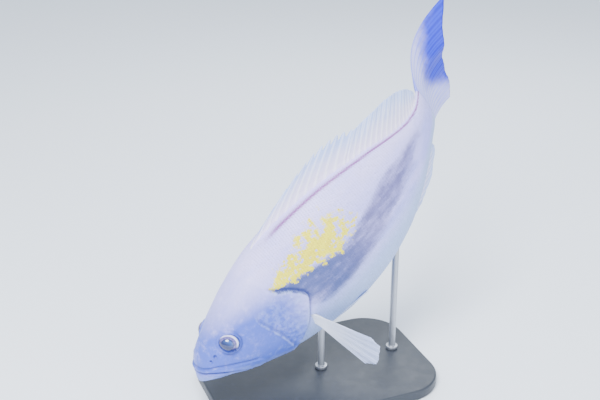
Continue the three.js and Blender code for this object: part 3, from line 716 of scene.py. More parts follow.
def scale_faces(count):
    """Triangles from each scale's rim to its crown and to its root."""
    rim = len(SCALE_RIM)
    faces = []
    for k in range(rim):
        after = (k + 1) % rim
        faces.append([k, after, rim])
        faces.append([after, k, rim + 1])
    starts = np.arange(count)[:, None, None] * len(SCALE_SHAPE)
    return (starts + np.array(faces)).reshape(-1, 3)


def add_bake_map(mesh, roots, side):
    """Lays each scale flat on the bake map, at its root's station and angle."""
    corner = np.zeros(len(mesh.loops), int)
    mesh.loops.foreach_get("vertex_index", corner)
    root_uv = np.stack([roots[:, 0], np.mod(roots[:, 1] * side / (2 * np.pi), 1)], -1)
    local = SCALE_SHAPE[:, :2] / BAKE_REACH * BAKE_PATCH
    uv = (root_uv[:, None] + local).reshape(-1, 2)
    layer = mesh.uv_layers.new(name="OFBake")
    layer.data.foreach_set("uv", uv[corner].ravel())


def make_scales(side, material, name):
    stations, angles, roots, seats, distance = scaled_seats(side)
    points, normals = skin_point(stations, angles)
    lift = SCALE_SHAPE[:, 2]
    grown = smoothstep(distance, *SCALE_GROWTH)[:, None] * 0.75 + 0.25
    points = points + normals * (lift * np.where(lift > 0, grown, 1))[..., None]
    count, corners = points.shape[:2]
    mesh = bpy.data.meshes.new(name)
    mesh.from_pydata(placed(points).reshape(-1, 3).tolist(), [], scale_faces(count).tolist())
    straight = np.repeat(seats[:, None], corners, axis=1).reshape(-1, 3)
    add_vectors(mesh, "straight", straight)
    add_markings(mesh, straight)
    rng = np.random.default_rng(11 + side)
    tone = np.repeat(rng.normal(0, 1, (count, 1)), corners, axis=1)
    edge = np.tile(np.array(SCALE_EDGE_TONE), (count, 1))
    add_vectors(mesh, "scale_tone", np.stack([tone, edge, edge * 0], -1))
    add_bake_map(mesh, roots, side)
    piece = bpy.data.objects.new(name, mesh)
    bpy.context.scene.collection.objects.link(piece)
    bpy.ops.object.select_all(action="DESELECT")
    piece.select_set(True)
    bpy.context.view_layer.objects.active = piece
    face_outwards()
    return finish_piece(piece, material, "skin")


# Fins


def ray_profile(ray, share, split_from):
    """1 on a ray's crest and 0 on the membrane. Soft rays fork towards their tips."""
    offset = ray - np.rint(ray)
    fork = 0.19 * smoothstep(share, split_from, split_from + 0.35)
    return np.maximum(bump(offset - fork, 0.13), bump(offset + fork, 0.13))


def make_fin(name, nodes, material, point_at, rays, notch, *, split_from=0.4, root_half=1.5 * MM,
             ray_half=0.85 * MM, per_ray=8, steps=34, sunk=0.14, seed=1, tint=None, ragged=0.025):
    """A closed sheet with raised rays, round the middle surface that point_at(ray, share) gives.

    A share of 1 is a ray's tip. Notch is how deep the edge is cut between two rays, sunk how far
    the sheet goes on inside the body, and both are shares of a ray."""
    columns = (rays - 1) * per_ray + 1
    ray, step = np.meshgrid(np.linspace(0, rays - 1, columns), np.linspace(-sunk, 1, steps), indexing="ij")
    offset = np.abs(ray - np.rint(ray))
    rng = np.random.default_rng(seed)
    uneven = np.interp(ray, np.arange(rays), rng.uniform(0, ragged, rays))
    web = smoothstep(offset, 0.04, 0.5)
    share = np.where(step > 0, step * (1 - notch(ray) * web - uneven), step)
    middle = point_at(ray, share)
    sway = 0.8 * MM * np.sin(ray * 1.7 + seed) * np.maximum(share, 0) ** 2
    across = np.gradient(middle, axis=0)
    along = np.gradient(middle, axis=1)
    normal = np.cross(across, along)
    normal = normal / np.maximum(np.linalg.norm(normal, axis=-1, keepdims=True), 1e-12)
    middle = middle + normal * sway[..., None]
    forks = split_from(ray) if callable(split_from) else split_from
    profile = ray_profile(ray, share, forks)
    reach = np.maximum(share, 0)
    crest = ray_half * (1 - 0.55 * reach)
    half = 0.25 * MM + (crest - 0.25 * MM) * profile
    half = half + (root_half - 0.4 * MM) * smoothstep(share, 0.16, -0.02)
    front = middle + normal * half[..., None]
    rear = middle - normal * half[..., None]

    def loop(a, b):
        return np.concatenate([a, b[::-1], a[:1]])

    shell = loop(front, rear)
    spine = loop(middle, middle)
    points = np.concatenate([spine[:, :1], shell, spine[:, -1:]], axis=1)
    shade = tint(ray / (rays - 1), reach) if tint else reach
    place = np.stack([profile, reach, shade], -1)
    place = loop(place, place)
    place = np.concatenate([place[:, :1], place, place[:, -1:]], axis=1)
    fin = grid_piece(name, points.shape[0], points.shape[1], placed(points), points, place)
    return finish_piece(fin, material, "fin", *nodes)


def ridge_height(station, upward):
    middle, up, down, _ = section(station)
    return middle + up if upward else middle - down


def middle_fin_point(stations, leans, lengths, upward):
    """The middle surface of a fin on the back or belly, from each ray's station, lean and length."""
    count = np.arange(len(stations))

    def point_at(ray, share):
        station = np.interp(ray, count, stations)
        angle = np.interp(ray, count, leans) * (1 + 0.12 * np.maximum(share, 0))
        reach = np.interp(ray, count, lengths) * LENGTH * share
        sign = 1 if upward else -1
        x = station * LENGTH + np.sin(angle) * reach
        z = ridge_height(station, upward) + sign * np.cos(angle) * reach
        return np.stack([x, 0 * x, z], -1)

    return point_at


SPINES = 11
SOFT_RAYS = 17
ANAL_RAYS = 11
TAIL_RAYS = 17
spiny_length = smooth_through([[0, 0.05], [0.2, 0.112], [0.4, 0.136], [0.75, 0.12], [1, 0.092]])
soft_length = smooth_through([[0, 0.084], [0.2, 0.096], [0.4, 0.106], [0.6, 0.1], [0.8, 0.075], [1, 0.026]])
anal_length = smooth_through([[0, 0.032], [0.12, 0.052], [0.3, 0.07], [0.6, 0.08], [0.88, 0.074], [1, 0.054]])
tail_length = smooth_through(
    [[-1, 0.176], [-0.75, 0.192], [-0.3, 0.194], [0.2, 0.204], [0.7, 0.246], [1, 0.316]]
)
tail_sweep = smooth_through([[-1, 0.028], [-0.5, 0.024], [0, 0.011], [0.5, -0.014], [1, 0.003]])


def dorsal_point():
    """Spines, then soft rays, as one fin."""
    front, rear = np.linspace(0, 1, SPINES), np.linspace(0, 1, SOFT_RAYS)
    stations = [*mix(0.31, 0.63, front), *mix(0.64, 0.955, rear)]
    leans = [*mix(0.98, 0.82, front), *mix(0.8, 0.9, rear)]
    lengths = [*spiny_length(front), *soft_length(rear)]
    return middle_fin_point(stations, leans, lengths, True)


def anal_point():
    along = np.linspace(0, 1, ANAL_RAYS)
    return middle_fin_point(mix(0.69, 0.865, along), mix(1.28, 1.34, along), anal_length(along), False)


def tail_point(ray, share):
    across = 2 * ray / (TAIL_RAYS - 1) - 1
    reach = tail_length(across) * LENGTH * share
    out = np.maximum(share, 0)
    fan = np.where(across > 0, math.radians(45), math.radians(25))
    curl = np.where(across > 0, 0.6, 0.18)
    angle = across * fan * (1 - curl * out**0.66)
    x = LENGTH + np.cos(angle) * reach
    y = tail_sweep(across) * LENGTH * out**1.5
    z = (across * 0.056 + 0.006) * LENGTH + np.sin(angle) * reach
    return np.stack([x, y, z], -1)


def tail_blue_and_fold_shade(across, share):
    """Deep blue, partly the fin's own colour and partly painted shade in the fold of the upper half, starts
    early on the middle rays and late on the upper ones, and spares the lower lobe.
    """
    start = np.interp(across, [-0.1, 0.1, 0.5, 0.65, 0.8, 1], [1.05, 0.88, 0.2, 0.16, 0.28, 0.38])
    return smoothstep(share, start - 0.15, start + 0.6)


def paired_fin_point(place, side, rays, main, spread, fan, root_half, length, cup):
    """The middle surface of a fin that fans out from a short root on the flank or breast."""
    root, _ = flank_frame(*place, side)
    mirror = np.array([1, side, 1])
    forward = np.array(main) * mirror
    forward = forward / np.linalg.norm(forward)
    opening = np.array(spread) * mirror
    opening = opening - forward * (opening @ forward)
    opening = opening / np.linalg.norm(opening)
    bow = np.cross(forward, opening) * side

    def point_at(ray, share):
        across = 2 * ray / (rays - 1) - 1
        reach = length(across) * LENGTH * share
        angle = across * fan
        swell = cup * reach * np.maximum(share, 0) * (1 - 0.6 * across**2)
        sideways = across * root_half * LENGTH + np.sin(angle) * reach
        return root + sum(
            amount[..., None] * way
            for amount, way in ((sideways, opening), (np.cos(angle) * reach, forward), (swell, bow))
        )

    return point_at


PECTORAL_RAYS = 17
PECTORAL_PLACE = [0.318, -0.101]
PELVIC_RAYS = 6
PELVIC_PLACE = [0.35, -0.18]


def make_fins(spiny_film, tail_film, paired_film):
    make_fin("dorsal_rays", ["dorsal_fin_spiny", "dorsal_fin_soft"], spiny_film, dorsal_point(),
             SPINES + SOFT_RAYS, lambda ray: mix(0.17, 0.02, smoothstep(ray, 9.5, 11)),
             split_from=lambda ray: np.where(ray < SPINES - 0.5, 2.0, 0.4), ray_half=0.95 * MM, seed=2)
    make_fin("anal_rays", ["anal_fin"], spiny_film, anal_point(), ANAL_RAYS,
             lambda ray: np.where(ray < 3, 0.12, 0.02), seed=4)
    make_fin("tail_rays", ["tail_fin"], tail_film, tail_point, TAIL_RAYS, lambda ray: 0.004,
             root_half=2 * MM, per_ray=10, steps=44, sunk=0.06, seed=5, tint=tail_blue_and_fold_shade, ragged=0.006)
    pectoral_length = smooth_through([[-1, 0.18], [-0.6, 0.2], [0, 0.19], [0.6, 0.185], [1, 0.165]])
    pelvic_length = smooth_through([[-1, 0.11], [-0.3, 0.125], [0.5, 0.13], [1, 0.12]])
    for name, side in (("left", -1), ("right", 1)):
        pectoral = paired_fin_point(
            PECTORAL_PLACE, side, PECTORAL_RAYS, main=[0.3, 0.67, -0.7], spread=[0.42, 0.64, 0.6],
            fan=0.36, root_half=0.016, length=pectoral_length, cup=0.1,
        )
        make_fin(f"pectoral_rays_{name}", [f"pectoral_fin_{name}"], paired_film, pectoral, PECTORAL_RAYS,
                 lambda ray: 0.008, root_half=3 * MM, sunk=0.1, seed=6, ragged=0.01)
        pelvic = paired_fin_point(
            PELVIC_PLACE, side, PELVIC_RAYS, main=[0.97, 0.03, 0.07], spread=[0, 0.8, 0.55],
            fan=0.14, root_half=0.01, length=pelvic_length, cup=-0.03,
        )
        make_fin(f"pelvic_rays_{name}", [f"pelvic_fin_{name}"], paired_film, pelvic, PELVIC_RAYS,
                 lambda ray: 0.03, root_half=2.2 * MM, per_ray=12, sunk=0.1, seed=7)


# Eyes


CORNEA_SWELL = 0.03
GAZE_LEAN = [-0.26, 0, 0.22]  # the eye looks a little forwards and up


def make_eye(side, material, name):
    bpy.ops.object.select_all(action="DESELECT")
    bpy.ops.mesh.primitive_uv_sphere_add(segments=72, ring_count=60, radius=EYE_RADIUS)
    eye = bpy.context.active_object
    eye.name = f"eyeball_{name}"
    mesh = eye.data
    local = vertex_places(mesh)
    polar = np.arccos(np.clip(local[:, 2] / EYE_RADIUS, -1, 1))
    turn = np.arctan2(local[:, 1], local[:, 0])
    swell = 1 + CORNEA_SWELL * smoothstep(polar, math.radians(52), math.radians(30))
    middle, axis = eye_seat(side)
    gaze = Vector(axis + np.array(GAZE_LEAN)).normalized()
    rotation = np.array(gaze.to_track_quat("Z", "Y").to_matrix())
    ball = (local * swell[:, None]) @ rotation.T
    narrow = np.array([-EYE_SLANT[1], 0, EYE_SLANT[0]])
    points = ball - EYE_FLATTENED * (ball @ narrow)[:, None] * narrow + middle
    mesh.vertices.foreach_set("co", placed(points).ravel())
    outward = points - middle
    # How far each point lies towards the rear and up, the side the eye's paint takes as lit for its painted
    # highlight and shade.
    rearward_lit_side = outward @ np.array([0.95, 0, 0.3]) / EYE_RADIUS
    add_vectors(mesh, "eye_place", np.stack([polar / math.radians(90), rearward_lit_side, np.sin(turn * 3)], -1))
    drop_uv_maps(mesh)
    face_outwards()
    bpy.ops.object.shade_smooth()
    return finish_piece(eye, material, "eye", f"eye_{name}")


# Stand


def apply_bevel(piece, width, segments, angle):
    bpy.context.view_layer.objects.active = piece
    bevel = piece.modifiers.new("rounding", "BEVEL")
    bevel.width = width
    bevel.segments = segments
    bevel.limit_method = "ANGLE"
    bevel.angle_limit = angle
    bpy.ops.object.modifier_apply(modifier=bevel.name)
    bpy.ops.object.shade_smooth_by_angle(angle=math.radians(35))


CORNER_RADIUS = 60 * MM
PLATE_ROUNDING = 3 * MM
ROD_RADIUS = 5 * MM
COLLAR_RADIUS = 9 * MM
COLLAR_HEIGHT = 5 * MM
ROD_ROUNDING = 0.7 * MM
ROD_SUNK = 9 * MM
SHARP_EDGE = math.radians(60)


def make_base(material):
    low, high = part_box("stand_base")
    bpy.ops.object.select_all(action="DESELECT")
    bpy.ops.mesh.primitive_cube_add(size=1, location=(low + high) / 2, scale=high - low)
    base = bpy.context.active_object
    base.name = "stand_plate"
    bpy.ops.object.transform_apply(location=True, rotation=True, scale=True)
    corners = base.modifiers.new("corners", "BEVEL")
    corners.width = CORNER_RADIUS
    corners.segments = 32
    corners.limit_method = "WEIGHT"
    weights = base.data.attributes.new("bevel_weight_edge", "FLOAT", "EDGE")
    for edge in base.data.edges:
        a, b = (base.data.vertices[v].co for v in edge.vertices)
        weights.data[edge.index].value = 1.0 if abs(a.z - b.z) > 5 * MM else 0.0
    bpy.ops.object.modifier_apply(modifier=corners.name)
    apply_bevel(base, PLATE_ROUNDING, 5, SHARP_EDGE)
    return finish_piece(base, material, "stand_base", "stand_base")


def make_rod(node, material):
    """A rod with a low collar at its foot, which ends inside the belly."""
    low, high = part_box(node)
    centre = (low + high) / 2
    bpy.ops.object.select_all(action="DESELECT")
    bpy.ops.mesh.primitive_cylinder_add(
        vertices=64, radius=COLLAR_RADIUS, depth=COLLAR_HEIGHT,
        location=(centre.x, centre.y, low.z + COLLAR_HEIGHT / 2), end_fill_type="NGON",
    )
    rod = bpy.context.active_object
    rod.name = f"{node}_steel"
    bpy.ops.object.transform_apply(location=True, rotation=True, scale=True)
    drop_uv_maps(rod.data)
    bpy.ops.object.mode_set(mode="EDIT")
    bpy.ops.mesh.select_all(action="DESELECT")
    bpy.ops.object.mode_set(mode="OBJECT")
    for face in rod.data.polygons:
        face.select = face.normal.z > 0.9
    bpy.ops.object.mode_set(mode="EDIT")
    bpy.ops.mesh.select_mode(type="FACE")
    bpy.ops.mesh.inset(thickness=COLLAR_RADIUS - ROD_RADIUS)
    rise = high.z + ROD_SUNK - low.z - COLLAR_HEIGHT
    bpy.ops.mesh.extrude_region_move(TRANSFORM_OT_translate={"value": (0, 0, rise)})
    bpy.ops.object.mode_set(mode="OBJECT")
    apply_bevel(rod, ROD_ROUNDING, 3, SHARP_EDGE)
    return finish_piece(rod, material, "stand_rod", node)


# Materials


def colour(red, green, blue):
    """A colour given as 0 to 255, as a screen shows it, made linear."""
    linear = []
    for part in (red / 255, green / 255, blue / 255):
        linear.append(part / 12.92 if part <= 0.04045 else ((part + 0.055) / 1.055) ** 2.4)
    return [*linear, 1.0]


LILAC = colour(194, 188, 255)
LILAC_SHADE = colour(172, 172, 246)
BELLY_PALE = colour(168, 188, 232)
BACK_PALE = colour(210, 200, 255)
HEAD_BLUE = colour(66, 92, 196)
BAND_FRONT = colour(54, 70, 128)
BAND_REAR = colour(92, 86, 138)
COVER_SPOTS = colour(180, 196, 252)
GOLD = colour(252, 240, 0)
GOLD_SHADE = colour(232, 214, 0)
DORSAL_LINE = colour(134, 52, 138)
# The blue of the painted shade in folds.
CREASE_SHADE_BLUE = colour(38, 52, 128)

# Eye paints: the front colours are painted shade, the ring's pale is a painted highlight and the edge is
# painted shade of the socket.
IRIS_VIOLET = colour(120, 108, 178)
IRIS_STREAK = colour(70, 64, 130)
IRIS_FRONT_SHADE = colour(18, 28, 92)
RING_HIGHLIGHT = colour(230, 226, 255)
RING_FRONT_SHADE = colour(34, 46, 120)
PUPIL_PALE = colour(58, 98, 172)
PUPIL_FRONT_SHADE = colour(8, 26, 84)
PUPIL_EDGE = colour(22, 34, 92)
EYE_SOCKET_SHADE = colour(58, 72, 134)

CHARCOAL = colour(46, 50, 58)
CHARCOAL_WORN = colour(96, 100, 110)
STEEL = colour(176, 178, 184)
STEEL_WORN = colour(214, 216, 222)
FLOOR_PALE = colour(240, 244, 250)

FIN_PAINTS = {  # root, tip, rays, cover
    "Dorsal membrane": (colour(236, 224, 255), colour(172, 196, 255), colour(252, 252, 255), 0.96),
    # The tail's deep blue tip is partly painted shade in the fold of its upper half.
    "Tail membrane": (colour(206, 204, 255), colour(4, 16, 200), colour(54, 80, 238), 0.98),
    "Paired membrane": (colour(236, 240, 255), colour(200, 214, 255), colour(240, 242, 255), 0.9),
}

CLOUD_SIZE = 16 * MM
MOTTLE_SIZE = 12 * MM
SPOT_SIZE = 7.5 * MM
STREAK_SIZE = 6 * MM
WRINKLE_SIZE = 6 * MM
GRAIN_SIZE = 3.5 * MM
FINE_GRAIN_SIZE = 0.9 * MM
HEAD_SCALES = 620.0  # small scales of the bare skin to a metre
FIN_CLOUD_SIZE = 20 * MM
RAY_SEGMENTS = 260.0


def new_material(name):
    material = bpy.data.materials.new(name)
    material.use_nodes = True
    tree = material.node_tree
    shader = tree.nodes["Principled BSDF"]
    return material, tree, shader


def add_node(tree, kind, inputs=None, **settings):
    """A node with its settings made and its inputs set or linked."""
    node = tree.nodes.new(kind)
    for key, value in settings.items():
        setattr(node, key, value)
    for key, value in (inputs or {}).items():
        if isinstance(value, bpy.types.NodeSocket):
            tree.links.new(value, node.inputs[key])
        else:
            node.inputs[key].default_value = value
    return node


def maths(tree, operation, a, b=0.5, clamp=False):
    return add_node(tree, "ShaderNodeMath", {0: a, 1: b}, operation=operation, use_clamp=clamp).outputs[0]


def times(tree, a, b):
    return maths(tree, "MULTIPLY", a, b)


def plus(tree, a, b):
    return maths(tree, "ADD", a, b)


def grey(tree, value):
    return add_node(tree, "ShaderNodeCombineXYZ", {0: value, 1: value, 2: value}).outputs[0]


def blend(tree, share, a, b, kind="MIX"):
    node = add_node(tree, "ShaderNodeMix", {"Factor": share}, data_type="RGBA", blend_type=kind)
    for socket, value in ((node.inputs[6], a), (node.inputs[7], b)):
        if isinstance(value, bpy.types.NodeSocket):
            tree.links.new(value, socket)
        else:
            socket.default_value = value
    return node.outputs[2]


def ramp(tree, value, low, high):
    """Maps low..high to 0..1, smoothly."""
    node = add_node(
        tree, "ShaderNodeMapRange",
        {"Value": value, "From Min": low, "From Max": high},
        interpolation_type="SMOOTHSTEP",
    )
    return node.outputs[0]


def attribute(tree, name):
    node = add_node(tree, "ShaderNodeAttribute", attribute_name=name)
    parts = add_node(tree, "ShaderNodeSeparateXYZ", {0: node.outputs["Vector"]})
    return node.outputs["Vector"], parts.outputs


def speckle(tree, place, size, detail=2.0, rough=0.5):
    return add_node(
        tree, "ShaderNodeTexNoise",
        {"Vector": place, "Scale": 1 / size, "Detail": detail, "Roughness": rough},
    ).outputs["Fac"]


def new_group(name, inputs, outputs):
    group = bpy.data.node_groups.new(name, "ShaderNodeTree")
    for label, kind, value in inputs:
        socket = group.interface.new_socket(name=label, in_out="INPUT", socket_type=kind)
        socket.default_value = value
    for label, kind in outputs:
        group.interface.new_socket(name=label, in_out="OUTPUT", socket_type=kind)
    return group, group.nodes.new("NodeGroupInput"), group.nodes.new("NodeGroupOutput")


def stretched(tree, place, pace):
    """A place that runs slower along the fish, which draws a texture out lengthwise."""
    scaled = {0: place, 1: (pace, 1.0, 1.0)}
    return add_node(tree, "ShaderNodeVectorMath", scaled, operation="MULTIPLY").outputs[0]


def lifted(tree, mask, *textures):
    """A mask with the ups and downs of textures added."""
    for texture, amount in textures:
        mask = plus(tree, mask, times(tree, maths(tree, "SUBTRACT", texture, 0.5), amount))
    return mask


def grouper_markings():
    """The colours of skin and scales, with painted shade in folds and painted light under the throat, read
    from the masks and broken up by noise along the straight fish.
    """
    group, _, out = new_group(
        "Grouper markings and painted light", [], [("Colour", "NodeSocketColor"), ("Cloud", "NodeSocketFloat")]
    )
    place, _ = attribute(group, "straight")
    _, flank = attribute(group, "marks_flank")
    _, edges = attribute(group, "marks_edges")
    _, crease_shade_pale_rear = attribute(group, "marks_crease_shade_pale_rear")
    blotch_mask, band_mask, blue_mask = flank
    belly_mask, back_mask, dorsal_mask = edges
    crease_shade_mask, pale_mask, rear_mask = crease_shade_pale_rear
    cloud = speckle(group, stretched(group, place, 0.22), CLOUD_SIZE, 4.0, 0.6)
    streaks = speckle(group, stretched(group, place, 0.12), STREAK_SIZE, 3.0, 0.6)
    mottle = speckle(group, place, MOTTLE_SIZE, 4.0, 0.65)
    spots = speckle(group, place, SPOT_SIZE, 3.0, 0.6)
    grain = speckle(group, place, GRAIN_SIZE, 2.0, 0.6)

    paint = blend(group, ramp(group, cloud, 0.35, 0.65), LILAC, LILAC_SHADE)
    paint = blend(group, belly_mask, paint, BELLY_PALE)
    paint = blend(group, times(group, back_mask, ramp(group, cloud, 0.2, 0.6)), paint, BACK_PALE)
    blue = times(group, blue_mask, ramp(group, mottle, -0.1, 0.55))
    paint = blend(group, times(group, blue, 0.96), paint, HEAD_BLUE)

    torn = lifted(group, band_mask, (cloud, 1.0), (mottle, 0.6), (streaks, 0.7))
    band = times(group, ramp(group, torn, -0.05, 1.05), ramp(group, band_mask, 0.02, 0.4))
    paint = blend(group, times(group, band, 0.9), paint, blend(group, rear_mask, BAND_FRONT, BAND_REAR))

    pale = times(group, pale_mask, ramp(group, spots, 0.38, 0.62))
    paint = blend(group, times(group, pale, 0.85), paint, COVER_SPOTS)

    filled = lifted(group, times(group, blotch_mask, 0.98), (spots, 3.0), (grain, 1.2), (mottle, 1.6))
    yellow = times(group, ramp(group, filled, 0.42, 0.78), ramp(group, blotch_mask, 0.02, 0.2))
    gold = blend(group, ramp(group, grain, 0.3, 0.7), GOLD, GOLD_SHADE)
    paint = blend(group, times(group, yellow, 0.96), paint, gold)

    paint = blend(group, times(group, dorsal_mask, 0.9), paint, DORSAL_LINE)
    # Painted shade in the folds of mouth, gills, eyes and nostrils.
    paint = blend(group, times(group, crease_shade_mask, 0.75), paint, CREASE_SHADE_BLUE)
    shade = plus(group, 0.9, times(group, grain, 0.2))
    paint = blend(group, 1.0, paint, grey(group, shade), "MULTIPLY")
    group.links.new(paint, out.inputs["Colour"])
    group.links.new(cloud, out.inputs["Cloud"])
    return group


def use_group(tree, group, inputs=None):
    return add_node(tree, "ShaderNodeGroup", inputs, node_tree=group)


def skin_material(markings):
    material, tree, shader = new_material("Grouper skin")
    paint = use_group(tree, markings)
    tree.links.new(paint.outputs["Colour"], shader.inputs["Base Color"])
    place, _ = attribute(tree, "straight")
    fine = speckle(tree, place, FINE_GRAIN_SIZE, 3.0, 0.6)
    small_scales = add_node(
        tree, "ShaderNodeTexVoronoi",
        {"Vector": place, "Scale": HEAD_SCALES, "Randomness": 0.75},
        feature="DISTANCE_TO_EDGE",
    ).outputs["Distance"]
    wrinkles = speckle(tree, place, WRINKLE_SIZE, 5.0, 0.7)
    height = plus(tree, times(tree, small_scales, 0.5), times(tree, fine, 0.3))
    height = plus(tree, height, times(tree, wrinkles, 0.9))
    relief = add_node(tree, "ShaderNodeBump", {"Height": height, "Strength": 0.35, "Distance": 0.7 * MM})
    tree.links.new(relief.outputs[0], shader.inputs["Normal"])
    rough = plus(tree, 0.34, times(tree, paint.outputs["Cloud"], 0.16))
    tree.links.new(rough, shader.inputs["Roughness"])
    shader.inputs["Coat Weight"].default_value = 0.12
    shader.inputs["Coat Roughness"].default_value = 0.18
    shader.inputs["Specular IOR Level"].default_value = 0.3
    return material


def scale_material(markings):
    material, tree, shader = new_material("Grouper scales")
    paint = use_group(tree, markings)
    _, tone = attribute(tree, "scale_tone")
    lighter = plus(tree, 0.82, times(tree, tone[0], 0.03))
    lighter = plus(tree, lighter, times(tree, tone[1], 0.27))
    shaded = blend(tree, 1.0, paint.outputs["Colour"], grey(tree, lighter), "MULTIPLY")
    tree.links.new(shaded, shader.inputs["Base Color"])
    rough = plus(tree, 0.32, times(tree, paint.outputs["Cloud"], 0.14))
    tree.links.new(rough, shader.inputs["Roughness"])
    shader.inputs["Coat Weight"].default_value = 0.12
    shader.inputs["Coat Roughness"].default_value = 0.2
    shader.inputs["Specular IOR Level"].default_value = 0.3
    return material


def fin_membrane():
    """A fin's colour and cover, from its root to its tips, with its rays paler and denser."""
    group, given, out = new_group(
        "Fin membrane",
        [
            ("Root", "NodeSocketColor", (0.6, 0.6, 0.9, 1)),
            ("Tip", "NodeSocketColor", (0.4, 0.5, 0.9, 1)),
            ("Ray", "NodeSocketColor", (0.8, 0.8, 0.95, 1)),
            ("Cover", "NodeSocketFloat", 0.7),
        ],
        [("Colour", "NodeSocketColor"), ("Alpha", "NodeSocketFloat"), ("Height", "NodeSocketFloat")],
    )
    place, _ = attribute(group, "straight")
    _, along = attribute(group, "ray_place")
    crest, reach, tint = along
    cloud = speckle(group, place, FIN_CLOUD_SIZE, 3.0, 0.6)
    faded = lifted(group, tint, (cloud, 0.5))
    paint = blend(group, ramp(group, faded, 0.1, 0.95), given.outputs["Root"], given.outputs["Tip"])
    on_ray = times(group, crest, maths(group, "SUBTRACT", 0.7, times(group, reach, 0.3)))
    paint = blend(group, on_ray, paint, given.outputs["Ray"])
    group.links.new(paint, out.inputs["Colour"])
    thin = maths(group, "SUBTRACT", given.outputs["Cover"], times(group, reach, 0.12))
    dense = maths(group, "ADD", thin, times(group, crest, 0.35), clamp=True)
    root = ramp(group, reach, 0.2, 0.0)
    group.links.new(maths(group, "MAXIMUM", dense, root), out.inputs["Alpha"])
    segments = maths(group, "SINE", times(group, reach, RAY_SEGMENTS))
    joints = times(group, times(group, segments, 0.35), crest)
    group.links.new(plus(group, joints, cloud), out.inputs["Height"])
    return group


def fin_material(name, membrane, root, tip, ray, cover):
    material, tree, shader = new_material(name)
    film = use_group(tree, membrane, {"Root": root, "Tip": tip, "Ray": ray, "Cover": cover})
    tree.links.new(film.outputs["Colour"], shader.inputs["Base Color"])
    tree.links.new(film.outputs["Alpha"], shader.inputs["Alpha"])
    height = film.outputs["Height"]
    relief = add_node(tree, "ShaderNodeBump", {"Height": height, "Strength": 0.25, "Distance": 0.3 * MM})
    tree.links.new(relief.outputs[0], shader.inputs["Normal"])
    shader.inputs["Roughness"].default_value = 0.4
    shader.inputs["Coat Weight"].default_value = 0.08
    shader.inputs["Specular IOR Level"].default_value = 0.35
    return material


def eye_material():
    material, tree, shader = new_material("Grouper eye")
    _, place = attribute(tree, "eye_place")
    polar, rearward_lit_side, streak = place
    spokes = add_node(tree, "ShaderNodeCombineXYZ", {0: rearward_lit_side, 1: streak, 2: times(tree, polar, 2.0)})
    streaks = add_node(
        tree, "ShaderNodeTexNoise",
        {"Vector": spokes.outputs[0], "Scale": 3.2, "Detail": 5.0, "Roughness": 0.7},
    ).outputs["Fac"]
    iris = blend(tree, ramp(tree, streaks, 0.3, 0.7), IRIS_VIOLET, IRIS_STREAK)
    # Painted shade over the iris's front side.
    iris = blend(tree, ramp(tree, rearward_lit_side, -0.1, -0.45), iris, IRIS_FRONT_SHADE)
    # The ring round the iris: a painted highlight on its rear side and painted shade in front.
    ring = blend(tree, ramp(tree, rearward_lit_side, -0.3, 0.3), RING_FRONT_SHADE, RING_HIGHLIGHT)
    paint = blend(tree, ramp(tree, polar, 0.53, 0.6), iris, ring)
    # The pupil: painted shade in front and pale behind.
    pupil = blend(tree, ramp(tree, rearward_lit_side, -0.4, 0.3), PUPIL_FRONT_SHADE, PUPIL_PALE)
    pupil = blend(tree, ramp(tree, polar, 0.26, 0.37), pupil, PUPIL_EDGE)
    paint = blend(tree, ramp(tree, polar, 0.4, 0.37), paint, pupil)
    # Painted shade of the socket round the ball's edge.
    paint = blend(tree, ramp(tree, polar, 0.68, 0.76), paint, EYE_SOCKET_SHADE)
    tree.links.new(paint, shader.inputs["Base Color"])
    shader.inputs["Roughness"].default_value = 0.16
    shader.inputs["Coat Weight"].default_value = 1.0
    shader.inputs["Coat Roughness"].default_value = 0.04
    return material


def surface_wear():
    """Paler, rougher places along edges and in fine scratches."""
    group, given, out = new_group(
        "Surface wear",
        [("Colour", "NodeSocketColor", (0.1, 0.1, 0.1, 1)), ("Worn", "NodeSocketColor", (0.4, 0.4, 0.4, 1)),
         ("Size", "NodeSocketFloat", 80.0), ("Amount", "NodeSocketFloat", 0.2)],
        [("Colour", "NodeSocketColor"), ("Roughness", "NodeSocketFloat"), ("Height", "NodeSocketFloat")],
    )
    coords = add_node(group, "ShaderNodeTexCoord").outputs["Object"]
    size = given.outputs["Size"]
    patches = add_node(group, "ShaderNodeTexNoise", {"Vector": coords, "Scale": size, "Detail": 5.0})
    fine = add_node(group, "ShaderNodeTexNoise", {"Vector": coords, "Scale": 1400.0, "Detail": 2.0})
    edge = add_node(group, "ShaderNodeNewGeometry").outputs["Pointiness"]
    worn = times(group, ramp(group, edge, 0.52, 0.6), given.outputs["Amount"])
    rubbed = ramp(group, patches.outputs["Fac"], 0.55, 0.8)
    worn = plus(group, worn, times(group, rubbed, 0.12))
    group.links.new(blend(group, worn, given.outputs["Colour"], given.outputs["Worn"]), out.inputs["Colour"])
    rough = plus(group, 0.34, times(group, patches.outputs["Fac"], 0.25))
    group.links.new(rough, out.inputs["Roughness"])
    group.links.new(fine.outputs["Fac"], out.inputs["Height"])
    return group


def stand_material(name, wear, paint, worn, *, size, amount, metallic=0.0):
    material, tree, shader = new_material(name)
    surface = use_group(tree, wear, {"Colour": paint, "Worn": worn, "Size": size, "Amount": amount})
    tree.links.new(surface.outputs["Colour"], shader.inputs["Base Color"])
    tree.links.new(surface.outputs["Roughness"], shader.inputs["Roughness"])
    height = surface.outputs["Height"]
    relief = add_node(tree, "ShaderNodeBump", {"Height": height, "Strength": 0.2, "Distance": 0.2 * MM})
    tree.links.new(relief.outputs[0], shader.inputs["Normal"])
    shader.inputs["Metallic"].default_value = metallic
    return material


# Studio


